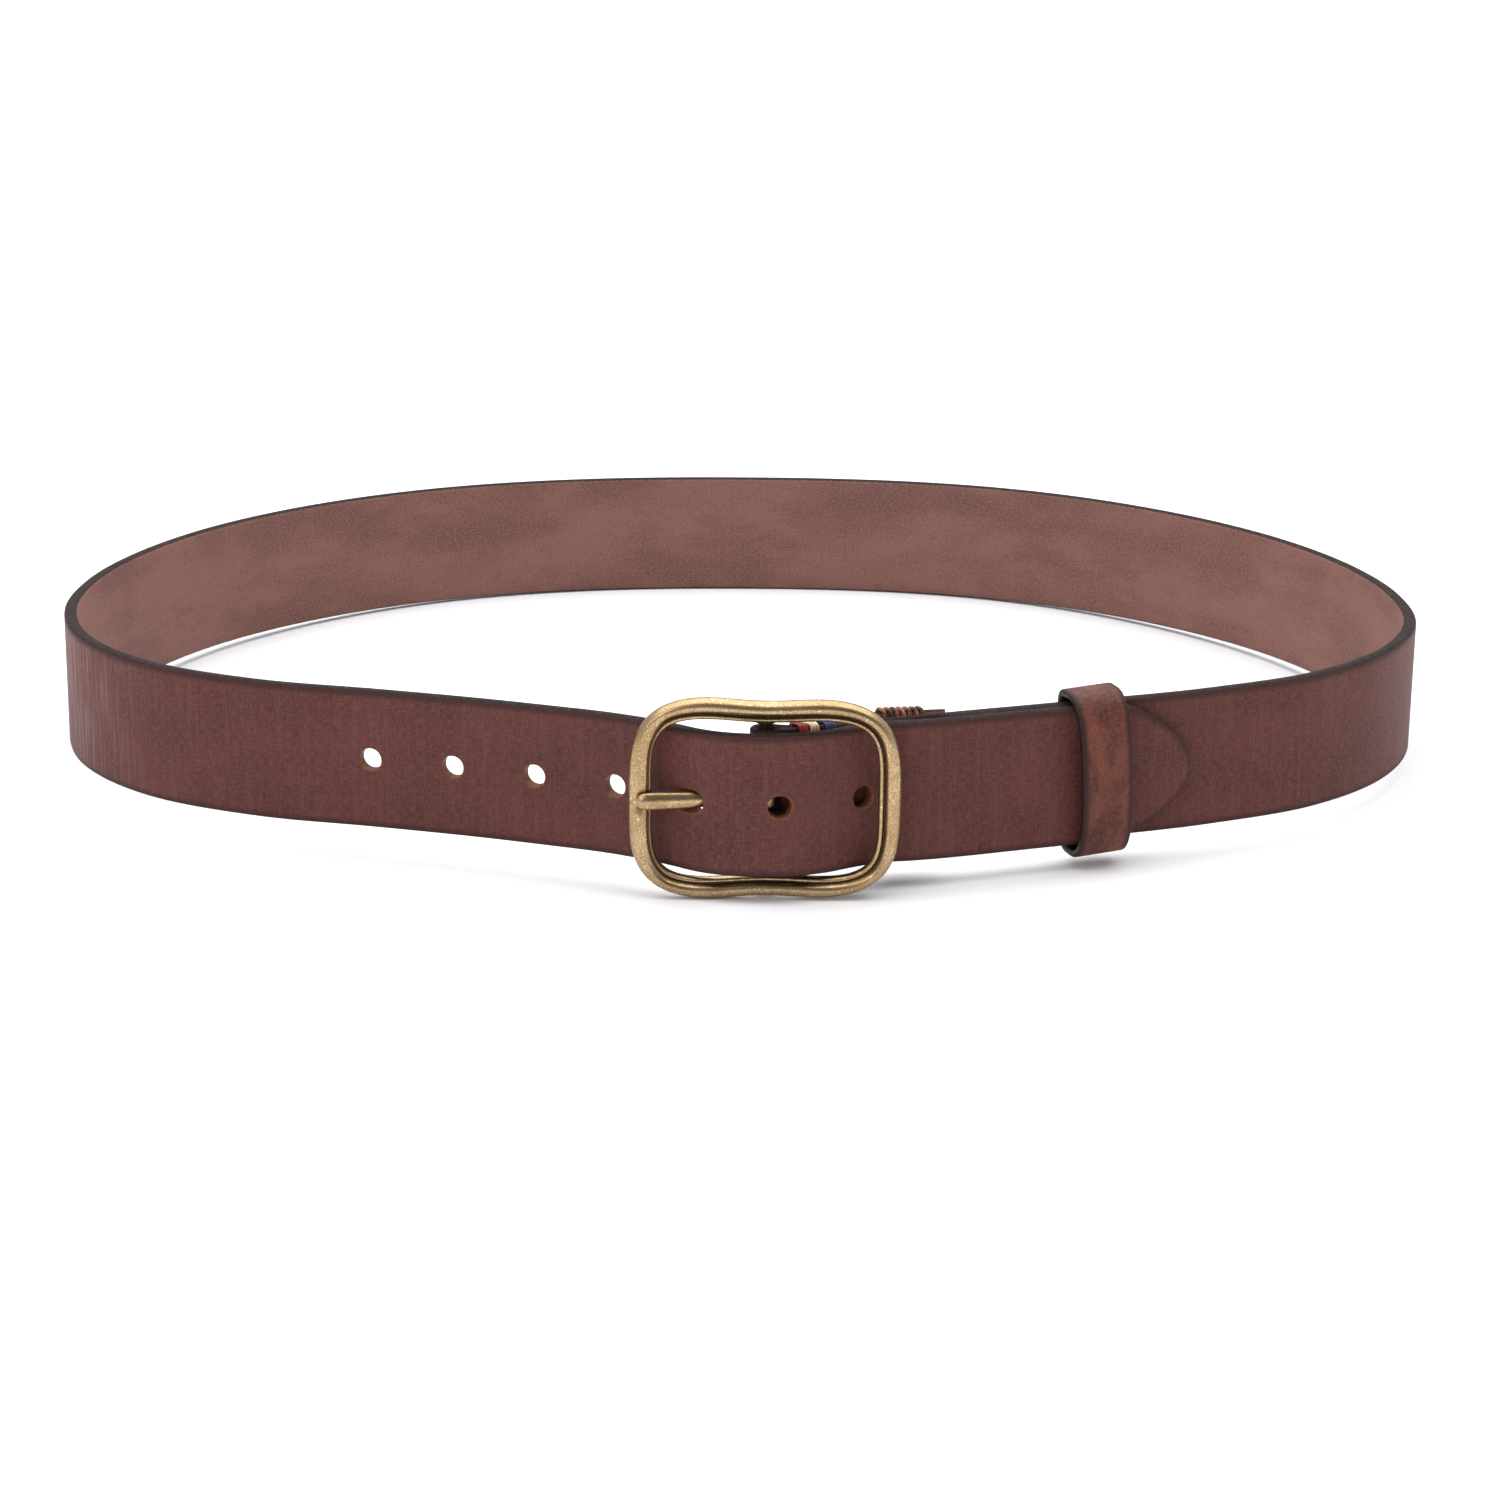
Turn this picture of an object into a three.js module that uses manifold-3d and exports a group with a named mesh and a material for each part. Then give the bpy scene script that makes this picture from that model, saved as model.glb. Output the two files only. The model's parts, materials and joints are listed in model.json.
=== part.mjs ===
// A leather belt, fastened and standing on its edge.
// Millimetres, +Z up, +X to the wearer's left, the buckle towards -Y.
//
// One strap makes the whole ring. It is drawn as a line in plan, and the leather lies on both sides of it:
// the grain side faces out, the flesh side faces in. The line starts at the pointed tip, runs left through the
// buckle, once round the ring, back under the tip, and ends in the flap folded round the buckle's centre bar.

import * as THREE from 'three';
import { mergeVertices } from 'three/addons/utils/BufferGeometryUtils.js';
import Module from 'manifold-3d';

const wasm = await Module();
wasm.setup();

// ---------------------------------------------------------------- driving dimensions

const STRAP_WIDTH = 38.8;
const STRAP_THICKNESS = 4;
const SKIVED_THICKNESS = 2.2;      // the folded end is thinned from the grain side
const SKIVE_LENGTH = 5;            // run of the step between the two thicknesses
const EDGE_BEVEL = 0.8;
const GAP = 0.3;                   // clearance between touching pieces

// The tip's outline: distance from the apex = a parabola and a steeper fourth power of the half width.
const TIP_LENGTH = 21;
const TIP_CURVATURE = 0.047;
const HOLE_DIAMETER = 6.2;
const HOLE_PITCH = 23.6;
const HOLES_TOWARDS_TIP = 2;       // counted from the hole in use
const HOLES_TOWARDS_RING = 4;

const BAR_X = 6.9;                 // axis of the buckle's centre bar, in plan
const BAR_Y = -150;
const BAR_RADIUS = 1.7;

const FRAME_WIDTH = 71.6;
const FRAME_HEIGHT = 56.5;
const FRAME_RISE = 0.5;            // the frame sits a little high on the strap
const FRAME_TAPER = 0.016;         // the prong's end is taller than the other one by this share each way
const FRAME_POWER = 3.5;           // exponent of the outer outline's superellipse
const OPENING_POWER = 4.9;         // the opening is squarer
const FRAME_WAIST = 1.6;           // how far the long sides dip in the middle
const FRAME_WAIST_SPREAD = 15;
const FRAME_BAR_WIDTH = 6.1;
const FRAME_DEPTH = 4.4;
const FRAME_SET_FORWARD = 2.8;     // frame's middle plane in front of the bar's axis
const FRAME_YAW = THREE.MathUtils.degToRad(0.5);

const PRONG_HEIGHT = 4.8;
const PRONG_THICKNESS = 2.8;
const PRONG_REACH = 33.7;          // from the bar's axis to the tip
const PRONG_RISE = 0.3;
const PRONG_BACK_SWING = 2.2;      // degrees of room in the hole in use, behind and in front of the prong
const PRONG_FRONT_SWING = 3.4;

const KEEPER_X = 95.5;             // plan position of the keeper's middle
const KEEPER_WIDTH = 14.8;
const KEEPER_THICKNESS = 2;
const KEEPER_FRONT = 8.4;          // from the plane between the layers to the loop's inside, and behind it
const KEEPER_REAR = 4.9;
const KEEPER_RISE = 21.2;          // half the height of the loop's inside
const KEEPER_FRONT_POWER = 2.6;    // the front bows like an ellipse, and the rear lies flat
const KEEPER_REAR_POWER = 8;
const KEEPER_TILT = THREE.MathUtils.degToRad(3);    // turned a little in the strap's plane

const THREAD = 0.7;
const LACE = 1;
const MID = STRAP_WIDTH / 2;
const HALF = STRAP_THICKNESS / 2;
const SKIVED_FRONT = SKIVED_THICKNESS - HALF;
const FOLD_RADIUS = BAR_RADIUS + GAP + HALF;

// ---------------------------------------------------------------- plan line of the strap

// Both layers are straight and parallel where the keeper slides.
const LAYER_SLOPE = 0.36;
const LAYER_PITCH = (STRAP_THICKNESS + GAP) * Math.hypot(1, LAYER_SLOPE);
const innerLayerY = (x) => -133.33 + LAYER_SLOPE * (x - 60);
const outerLayerY = (x) => innerLayerY(x) - LAYER_PITCH;

const outerRun = [[122.3, -115.4], ...[115, 100, 78, 57].map((x) => [x, outerLayerY(x)])];
const overBar = [
  [46, -142.2], [38, -143.9], [30, -148.2], [22, -153.2], [13.5, -156.2], [5, -156.9], [-3, -156],
  [-10, -153.3], [-16.6, -148.7], [-24, -143.9], [-31, -140.2], [-38, -137.2],
];
const leftSide = [
  [-52, -132.3], [-72, -125.8], [-99, -118.4], [-131.4, -110.2], [-162.9, -94.1], [-185.7, -67.7],
  [-196.3, -34.6], [-195.8, 0.9], [-187.6, 33.2], [-173.3, 63.3], [-154.1, 89.1],
];
const rearSide = [
  [-131.4, 110.3], [-106.4, 126.8], [-79.8, 138.3], [-52.9, 145.4], [-26.3, 149.2], [0, 150.6],
  [26.5, 150.3], [53.7, 147.5], [81.2, 140.7], [108.1, 128.8], [133.1, 111.7],
];
const rightSide = [
  [155.7, 90], [174.8, 63.8], [188.8, 33.4], [196.4, 0.3], [195.5, -34.4], [182.1, -66.3], [158, -91.8],
  [128.4, -107.9],
];
const innerRun = [115, 100, 78, 57].map((x) => [x, innerLayerY(x)]);

// The front ply runs straight from the end of the inner layer to where it touches the fold's circle.
const PLY_START = innerRun[innerRun.length - 1];
const PLY_ANGLE = Math.atan2(PLY_START[1] - BAR_Y, PLY_START[0] - BAR_X)
  + Math.asin(FOLD_RADIUS / Math.hypot(PLY_START[0] - BAR_X, PLY_START[1] - BAR_Y));
const plyY = (x) => PLY_START[1] + Math.tan(PLY_ANGLE) * (x - PLY_START[0]);
const frontPly = [42, 27, 16].map((x) => [x, plyY(x)]);

const fold = [];
for (let step = 0; step <= 8; step += 1) {
  const turn = PLY_ANGLE - Math.PI / 2 - (step / 8) * THREE.MathUtils.degToRad(190);
  fold.push([BAR_X + FOLD_RADIUS * Math.cos(turn), BAR_Y + FOLD_RADIUS * Math.sin(turn)]);
}

// The flap lies on the front ply beside the bar, stands off it where it is laced, and meets it again.
const PLY_STACK = (2 * HALF + GAP) / Math.cos(PLY_ANGLE);
const flap = [
  [12.8, plyY(12.8) + PLY_STACK + 0.25], ...[16, 21, 27.4].map((x) => [x, plyY(x) + PLY_STACK]),
  [31.5, -138.4], [35.5, -134.2], [43, -132.7], [51, -131.2], [54.5, -130.6],
];

const planPoints = [
  ...outerRun, ...overBar, ...leftSide, ...rearSide, ...rightSide, ...innerRun, ...frontPly, ...fold, ...flap,
];
const path = new THREE.CatmullRomCurve3(planPoints.map(([x, y]) => new THREE.Vector3(x, y, 0)));
path.arcLengthDivisions = 6000;
const PATH_LENGTH = path.getLength();

// Position, direction and outward (grain side) normal at a distance along the line.
function station(distance) {
  const share = THREE.MathUtils.clamp(distance / PATH_LENGTH, 0, 1);
  const point = path.getPointAt(share);
  const along = path.getTangentAt(share);
  const grain = new THREE.Vector3(-along.y, along.x, 0);
  return { point, along, grain };
}

// Distance along the line of the place nearest to a plan point.
function distanceNear(x, y) {
  const target = new THREE.Vector3(x, y, 0);
  let best = 0;
  for (let distance = 0; distance <= PATH_LENGTH; distance += 0.25) {
    if (station(distance).point.distanceTo(target) < station(best).point.distanceTo(target)) {
      best = distance;
    }
  }
  return best;
}

const HOLE_IN_USE = distanceNear(-12, -152);
const BULGE_START = distanceNear(48, -141.5);
const BULGE_END = distanceNear(-40, -136.4);
const SKIVE_START = distanceNear(56.5, plyY(56.5));
const FOLD_START = distanceNear(...fold[0]) - 4;
const FOLD_END = distanceNear(...flap[0]) + 1;

// ---------------------------------------------------------------- solids

// A closed body through a row of sections, each a ring of the same number of points.
function loft(sections, closed) {
  const sides = sections[0].length;
  const positions = sections.flatMap((section) => section.flatMap((p) => [p.x, p.y, p.z]));
  const index = [];
  const last = closed ? sections.length : sections.length - 1;
  for (let row = 0; row < last; row += 1) {
    const next = (row + 1) % sections.length;
    for (let side = 0; side < sides; side += 1) {
      const turn = (side + 1) % sides;
      const a = row * sides + side;
      const b = row * sides + turn;
      const c = next * sides + turn;
      const d = next * sides + side;
      index.push(a, b, c, a, c, d);
    }
  }
  if (!closed) {
    const end = (sections.length - 1) * sides;
    for (let side = 1; side < sides - 1; side += 1) {
      index.push(0, side + 1, side);
      index.push(end, end + side, end + side + 1);
    }
  }
  const geometry = new THREE.BufferGeometry();
  geometry.setAttribute('position', new THREE.Float32BufferAttribute(positions, 3));
  geometry.setIndex(index);
  return facingOut(geometry);
}

function signedVolume(geometry) {
  const position = geometry.getAttribute('position');
  const index = geometry.getIndex();
  const corners = [new THREE.Vector3(), new THREE.Vector3(), new THREE.Vector3()];
  let volume = 0;
  for (let i = 0; i < index.count; i += 3) {
    corners.forEach((corner, k) => corner.fromBufferAttribute(position, index.getX(i + k)));
    volume += corners[0].dot(corners[1].clone().cross(corners[2])) / 6;
  }
  return volume;
}

function facingOut(geometry) {
  if (signedVolume(geometry) < 0) {
    geometry.setIndex(Array.from(geometry.getIndex().array).reverse());
  }
  return geometry;
}

function toSolid(geometry) {
  const bare = geometry.clone();
  bare.deleteAttribute('normal');
  bare.deleteAttribute('uv');
  const merged = mergeVertices(bare, 1e-4);
  return new wasm.Manifold(new wasm.Mesh({
    numProp: 3,
    vertProperties: merged.getAttribute('position').array,
    triVerts: new Uint32Array(merged.getIndex().array),
  }));
}

function toGeometry(solid) {
  const mesh = solid.getMesh();
  const geometry = new THREE.BufferGeometry();
  geometry.setAttribute('position', new THREE.BufferAttribute(mesh.vertProperties, 3));
  geometry.setIndex(new THREE.BufferAttribute(mesh.triVerts, 1));
  geometry.computeVertexNormals();
  return geometry;
}

function cutAway(geometry, cutters) {
  let solid = toSolid(geometry);
  for (const cutter of cutters) {
    solid = solid.subtract(toSolid(cutter));
  }
  return toGeometry(solid);
}

// Turns a geometry's own X and Y to the directions given, and moves its origin.
function placed(geometry, origin, xAxis, yAxis) {
  const zAxis = xAxis.clone().cross(yAxis);
  const basis = new THREE.Matrix4().makeBasis(xAxis, yAxis, zAxis).setPosition(origin);
  return geometry.clone().applyMatrix4(basis);
}

const UP = new THREE.Vector3(0, 0, 1);

// ---------------------------------------------------------------- strap

// How far the leather reaches to the grain side of the line: full, then skived.
function grainReach(distance) {
  const share = THREE.MathUtils.smoothstep(distance, SKIVE_START, SKIVE_START + SKIVE_LENGTH);
  return THREE.MathUtils.lerp(HALF, SKIVED_FRONT, share);
}

// The tip's fourth-power term makes its outline reach the strap's full width at the tip's length.
const TIP_SHOULDER = (TIP_LENGTH - TIP_CURVATURE * MID * MID) / MID ** 4;
const tipDistance = (half) => TIP_CURVATURE * half ** 2 + TIP_SHOULDER * half ** 4;

function strapHalfWidth(distance) {
  if (distance >= TIP_LENGTH) {
    return MID;
  }
  const root = Math.sqrt(TIP_CURVATURE ** 2 + 4 * TIP_SHOULDER * distance);
  return Math.sqrt((root - TIP_CURVATURE) / (2 * TIP_SHOULDER));
}

function strapSection(distance) {
  const { point, grain } = station(distance);
  const front = grainReach(distance);
  const half = strapHalfWidth(distance);
  const bevel = Math.min(EDGE_BEVEL, 0.25 * (front + HALF), 0.5 * half);
  const corners = [
    [front, half - bevel], [front - bevel, half], [bevel - HALF, half], [-HALF, half - bevel],
    [-HALF, bevel - half], [bevel - HALF, -half], [front - bevel, -half], [front, bevel - half],
  ];
  return corners.map(([out, rise]) => point.clone().addScaledVector(grain, out).setZ(MID + rise));
}

function strapStep(distance) {
  if (distance < BULGE_START) {
    return 8;
  }
  if (distance < BULGE_END) {
    return 3.2;
  }
  if (distance < SKIVE_START) {
    return 8;
  }
  if (distance < FOLD_START || distance > FOLD_END) {
    return 2.5;
  }
  return 1.3;
}

function strapDistances() {
  const distances = [1.3, 4.5, 8, 11.5, 14.5, 17].map(tipDistance);
  let distance = TIP_LENGTH;
  while (distance < PATH_LENGTH - 1) {
    distances.push(distance);
    distance += strapStep(distance);
  }
  distances.push(PATH_LENGTH);
  return distances;
}

function punchedHole(distance) {
  const { point, along, grain } = station(distance);
  const punch = new THREE.CylinderGeometry(HOLE_DIAMETER / 2, HOLE_DIAMETER / 2, 3 * STRAP_THICKNESS, 20);
  return placed(punch, point.clone().setZ(MID), along, grain);
}

function punchedHoles() {
  const holes = [];
  for (let count = -HOLES_TOWARDS_TIP; count <= HOLES_TOWARDS_RING; count += 1) {
    if (count !== 0) {
      holes.push(punchedHole(HOLE_IN_USE + count * HOLE_PITCH));
    }
  }
  return holes;
}

// ---------------------------------------------------------------- prong

const PRONG_MID = MID + PRONG_RISE;
const PRONG_EYE_THICKNESS = 2.1;
const PRONG_ROOT = { x: -2, y: -0.6 };        // arm's start, from the bar's axis
const PRONG_REST = { x: -PRONG_REACH, y: -5.75 };

// The arm's direction in plan, from its root to its tip.
function prongDirection() {
  return new THREE.Vector3(PRONG_REST.x - PRONG_ROOT.x, PRONG_REST.y - PRONG_ROOT.y, 0).normalize();
}

// The hole in use is drawn out along the prong, with room for its swing.
function prongHole(swingDegrees) {
  const swing = THREE.MathUtils.degToRad(swingDegrees);
  const length = PRONG_REACH;
  const geometry = new THREE.CylinderGeometry(1, 1, length, 20);
  geometry.scale(PRONG_THICKNESS / 2 + GAP + 0.35, 1, HOLE_DIAMETER / 2);
  const along = prongDirection();
  const across = new THREE.Vector3(along.y, -along.x, 0);
  const middle = new THREE.Vector3(PRONG_ROOT.x, PRONG_ROOT.y, MID).addScaledVector(along, length / 2);
  const cutter = placed(geometry, middle, across, along);
  cutter.rotateZ(swing);
  cutter.translate(BAR_X, BAR_Y, 0);
  return cutter;
}

function prongArm() {
  const along = prongDirection();
  const across = new THREE.Vector3(-along.y, along.x, 0);
  const length = Math.hypot(PRONG_REST.x - PRONG_ROOT.x, PRONG_REST.y - PRONG_ROOT.y);
  const root = new THREE.Vector3(BAR_X + PRONG_ROOT.x, BAR_Y + PRONG_ROOT.y, PRONG_MID);
  const ends = [
    { at: 0, size: 1 }, { at: 0.6, size: 1 }, { at: 0.9, size: 1 }, { at: 0.955, size: 0.93 },
    { at: 0.985, size: 0.72 }, { at: 1, size: 0.35 },
  ];
  const sections = ends.map(({ at, size }) => {
    const section = [];
    for (let side = 0; side < 12; side += 1) {
      const turn = (side / 12) * 2 * Math.PI;
      const out = (PRONG_THICKNESS / 2) * size * Math.cos(turn);
      const rise = (PRONG_HEIGHT / 2) * size * Math.sin(turn);
      const point = root.clone().addScaledVector(along, at * length).addScaledVector(across, out);
      section.push(point.setZ(PRONG_MID + rise));
    }
    return section;
  });
  return loft(sections, false);
}

function prongGeometry() {
  const inner = BAR_RADIUS + GAP;
  const outer = inner + PRONG_EYE_THICKNESS;
  const eye = new THREE.CylinderGeometry(outer, outer, PRONG_HEIGHT, 28);
  const bore = new THREE.CylinderGeometry(inner, inner, 3 * PRONG_HEIGHT, 28);
  [eye, bore].forEach((geometry) => geometry.rotateX(Math.PI / 2).translate(BAR_X, BAR_Y, PRONG_MID));
  return toGeometry(toSolid(eye).add(toSolid(prongArm())).subtract(toSolid(bore)));
}

// ---------------------------------------------------------------- buckle frame and centre bar

const FRAME_MID = MID + FRAME_RISE;

// Outline of the frame at a turn around it; inset moves it towards the opening.
function frameOutline(turn, inset) {
  const power = 2 / THREE.MathUtils.lerp(FRAME_POWER, OPENING_POWER, inset / FRAME_BAR_WIDTH);
  const c = Math.cos(turn);
  const s = Math.sin(turn);
  const across = (FRAME_WIDTH / 2 - inset) * Math.sign(c) * Math.abs(c) ** power;
  const rise = (FRAME_HEIGHT / 2 - inset) * Math.sign(s) * Math.abs(s) ** power;
  const waist = FRAME_WAIST * Math.exp(-((across / FRAME_WAIST_SPREAD) ** 2));
  const taper = 1 - FRAME_TAPER * (across / (FRAME_WIDTH / 2));
  return { across, rise: (rise - waist * rise / (FRAME_HEIGHT / 2)) * taper };
}

// Section of the frame's bar: how far in from the outline, and how far behind the middle plane.
const SECTION_WIDTH = 6;
const SECTION_DEPTH = 4.4;
const FRAME_SECTION = [
  [0, 0.5], [0.25, -0.75], [1.1, -1.8], [2.3, -2.2], [3.5, -1.85], [4.3, -0.95], [4.9, -1.2], [5.6, -0.95],
  [6, -0.2], [5.75, 1.6], [4.9, 2.2], [1.1, 2.2], [0.3, 1.6],
];

function framePoint(across, rise, behind) {
  const point = new THREE.Vector3(across, behind - FRAME_SET_FORWARD, rise);
  point.applyAxisAngle(UP, FRAME_YAW);
  return point.add(new THREE.Vector3(BAR_X, BAR_Y, FRAME_MID));
}

const FRAME_STEPS = 64;

function frameGeometry() {
  const sections = [];
  for (let step = 0; step < FRAME_STEPS; step += 1) {
    const turn = (step / FRAME_STEPS) * 2 * Math.PI;
    sections.push(FRAME_SECTION.map(([inset, behind]) => {
      const { across, rise } = frameOutline(turn, inset * FRAME_BAR_WIDTH / SECTION_WIDTH);
      return framePoint(across, rise, behind * FRAME_DEPTH / SECTION_DEPTH);
    }));
  }
  const lugged = barLugs().reduce((solid, lug) => solid.add(toSolid(lug)), toSolid(loft(sections, true)));
  return cutAway(toGeometry(lugged), [barSocket(), prongNotch()]);
}

const BAR_SEAT = 2.2;               // how deep each end of the bar sits in its lug
const OPENING_HEIGHT = FRAME_HEIGHT - 2 * FRAME_WAIST - 2 * FRAME_BAR_WIDTH;
const BAR_LENGTH = OPENING_HEIGHT + 2 * BAR_SEAT;

// Two lugs behind the frame's long sides hold the ends of the bar.
const LUG = { radius: BAR_RADIUS + GAP + 1.2, length: 4.4, rise: OPENING_HEIGHT / 2 + 2 };

function barLugs() {
  return [-1, 1].map((side) => {
    const lug = barCylinder(LUG.radius, LUG.length);
    return lug.translate(0, 0, side * LUG.rise);
  });
}

function barCylinder(radius, length) {
  const cylinder = new THREE.CylinderGeometry(radius, radius, length, 20);
  cylinder.rotateX(Math.PI / 2);
  cylinder.translate(BAR_X, BAR_Y, FRAME_MID);
  return cylinder;
}

function barSocket() {
  return barCylinder(BAR_RADIUS + GAP, BAR_LENGTH + 2 * GAP);
}

// A shallow seat in the front of the left bar for the prong's tip, which it passes a little.
const PRONG_SEAT_LENGTH = 14;
const PRONG_SEAT_BEYOND = 2;

function prongNotch() {
  const seat = new THREE.CylinderGeometry(1, 1, PRONG_SEAT_LENGTH, 20);
  seat.scale(PRONG_THICKNESS / 2 + GAP, 1, PRONG_HEIGHT / 2 + GAP);
  const along = prongDirection();
  const across = new THREE.Vector3(along.y, -along.x, 0);
  const tip = new THREE.Vector3(BAR_X + PRONG_REST.x, BAR_Y + PRONG_REST.y, PRONG_MID);
  return placed(seat, tip.addScaledVector(along, PRONG_SEAT_BEYOND - PRONG_SEAT_LENGTH / 2), across, along);
}

// ---------------------------------------------------------------- keeper

const LAYER_DIRECTION = new THREE.Vector3(1, LAYER_SLOPE, 0).normalize();
const LAYER_OUT = new THREE.Vector3(LAYER_SLOPE, -1, 0).normalize();
const KEEPER_ORIGIN = new THREE.Vector3(KEEPER_X, (innerLayerY(KEEPER_X) + outerLayerY(KEEPER_X)) / 2, MID);
const KEEPER_HALF_DEPTH = KEEPER_REAR + KEEPER_THICKNESS;
const KEEPER_STEPS = 72;

// The loop's inside at a turn around it, as a distance out from the plane between the layers and a rise.
function keeperInside(turn) {
  const c = Math.cos(turn);
  const s = Math.sin(turn);
  const power = 2 / (c > 0 ? KEEPER_FRONT_POWER : KEEPER_REAR_POWER);
  const reach = c > 0 ? KEEPER_FRONT : KEEPER_REAR;
  const out = reach * Math.sign(c) * Math.abs(c) ** power;
  const rise = KEEPER_RISE * Math.sign(s) * Math.abs(s) ** power;
  return new THREE.Vector2(out, rise);
}

// The loop's outline, grown outwards from its inside.
function keeperOutline(grow) {
  const points = [];
  for (let step = 0; step < KEEPER_STEPS; step += 1) {
    const turn = ((step + 0.5) / KEEPER_STEPS) * 2 * Math.PI;
    const ahead = keeperInside(turn + 0.01);
    const along = ahead.sub(keeperInside(turn - 0.01)).normalize();
    points.push(keeperInside(turn).add(new THREE.Vector2(along.y, -along.x).multiplyScalar(grow)));
  }
  return points;
}

function keeperPlaced(geometry) {
  const tilted = geometry.clone().rotateX(KEEPER_TILT);
  return placed(tilted, KEEPER_ORIGIN, LAYER_OUT, UP);
}

function keeperGeometry() {
  const loop = new THREE.Shape(keeperOutline(KEEPER_THICKNESS));
  loop.holes.push(new THREE.Path(keeperOutline(0)));
  const band = new THREE.ExtrudeGeometry(loop, { depth: KEEPER_WIDTH, bevelEnabled: false });
  band.translate(0, 0, -KEEPER_WIDTH / 2);
  const joint = new THREE.BoxGeometry(3 * KEEPER_THICKNESS, GAP, 2 * KEEPER_WIDTH);
  joint.translate(-KEEPER_HALF_DEPTH, 0, 0);
  const slots = [-1, 1].map((side) => stapleGeometry(side, GAP));
  return cutAway(keeperPlaced(band), [keeperPlaced(joint), ...slots]);
}

const STAPLE_WIRE = 0.9;
const STAPLE_SPAN = 7;
const STAPLE_OFFSET = 4.2;

// A staple across the butt joint, its legs through the loop; grown by an allowance it cuts its own slots.
function stapleGeometry(side, allowance) {
  const half = STAPLE_SPAN / 2 + allowance;
  const wire = STAPLE_WIRE + 2 * allowance;
  const outside = -KEEPER_HALF_DEPTH - GAP - STAPLE_WIRE - allowance;
  const legEnd = -KEEPER_HALF_DEPTH + KEEPER_THICKNESS - GAP + allowance;
  const shape = new THREE.Shape();
  shape.moveTo(outside, -half);
  shape.lineTo(legEnd, -half);
  shape.lineTo(legEnd, wire - half);
  shape.lineTo(outside + wire, wire - half);
  shape.lineTo(outside + wire, half - wire);
  shape.lineTo(legEnd, half - wire);
  shape.lineTo(legEnd, half);
  shape.lineTo(outside, half);
  shape.closePath();
  const staple = new THREE.ExtrudeGeometry(shape, { depth: wire, bevelEnabled: false });
  staple.translate(0, 0, side * STAPLE_OFFSET - wire / 2);
  return keeperPlaced(staple);
}

// ---------------------------------------------------------------- thread whippings and lacing

const WHIPPINGS = [
  { name: 'red_whipping', x: 16.3, width: 2.4, colour: 0xa3202a },
  { name: 'cream_whipping', x: 19.1, width: 2.5, colour: 0xe6d3b0 },
  { name: 'navy_whipping', x: 23.4, width: 2.8, colour: 0x232c5c },
];
const LACING = { x: 42.5, y: -132.8, width: 12 };
const BINDING_DEPTH = 3.4;          // how far below the edge the thread goes through
const BINDING_GAP = 0.5;            // a straight loop round leather that curves a little

// What each binding goes round: both plies for a whipping, the flap alone for the lacing.
function whippingRun({ x, width }, top) {
  const fleshSide = STRAP_THICKNESS + GAP + SKIVED_FRONT;
  return { at: distanceNear(x, plyY(x)), width, grainSide: SKIVED_FRONT, fleshSide, cord: THREAD, top };
}

function lacingRun(top) {
  const at = distanceNear(LACING.x, LACING.y);
  return { at, width: LACING.width, grainSide: SKIVED_FRONT, fleshSide: HALF, cord: LACE, top };
}

// A loop over one edge of the leather, around everything between two distances from the line.
function bindingLoop({ at, width, grainSide, fleshSide, cord, top }) {
  const { point, grain } = station(at);
  const front = grainSide + BINDING_GAP;
  const back = -fleshSide - BINDING_GAP;
  const low = MID - BINDING_DEPTH;
  const high = MID + GAP;
  const shape = rectangle(back - cord, front + cord, low - cord, high + cord);
  shape.holes.push(rectangle(back, front, low, high));
  const loop = new THREE.ExtrudeGeometry(shape, { depth: width, bevelEnabled: false });
  loop.translate(0, 0, -width / 2);
  return placed(loop, point.clone().setZ(MID), grain, top ? UP : UP.clone().negate());
}

function rectangle(left, right, bottom, top) {
  return new THREE.Shape([
    new THREE.Vector2(left, bottom), new THREE.Vector2(right, bottom),
    new THREE.Vector2(right, top), new THREE.Vector2(left, top),
  ]);
}

// Where a binding's lower run passes through the leather between two distances from the line.
function bindingSlot({ at, width, grainSide, fleshSide, cord, top }) {
  const { point, grain } = station(at);
  const reach = grainSide + fleshSide + 2 * (BINDING_GAP + cord);
  const slot = new THREE.BoxGeometry(reach, cord + 2 * GAP, width + 2 * GAP);
  slot.translate((grainSide - fleshSide) / 2, MID - BINDING_DEPTH - cord / 2, 0);
  return placed(slot, point.clone().setZ(MID), grain, top ? UP : UP.clone().negate());
}

// ---------------------------------------------------------------- strap, cut

// Slot in the fold for the prong's eye, through both plies beside the bar.
const EYE_SLOT = { length: 13.5, depth: 12.4, height: PRONG_HEIGHT + 2.4, alongPly: -0.75, behind: 2 };

function eyeSlot() {
  const slot = new THREE.BoxGeometry(EYE_SLOT.length, EYE_SLOT.depth, EYE_SLOT.height);
  slot.translate(EYE_SLOT.alongPly, EYE_SLOT.behind, 0);
  slot.rotateZ(PLY_ANGLE);
  slot.translate(BAR_X, BAR_Y, MID);
  return slot;
}

function bindingRuns() {
  const runsAt = (top) => [...WHIPPINGS.map((whipping) => whippingRun(whipping, top)), lacingRun(top)];
  return [...runsAt(true), ...runsAt(false)];
}

function strapGeometry() {
  const body = loft(strapDistances().map(strapSection), false);
  const swings = [-PRONG_BACK_SWING, 0, PRONG_FRONT_SWING];
  const cutters = [
    ...punchedHoles(), ...swings.map(prongHole), eyeSlot(), ...bindingRuns().map((run) => bindingSlot(run)),
  ];
  return cutAway(body, cutters);
}

// ---------------------------------------------------------------- assembly

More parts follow.
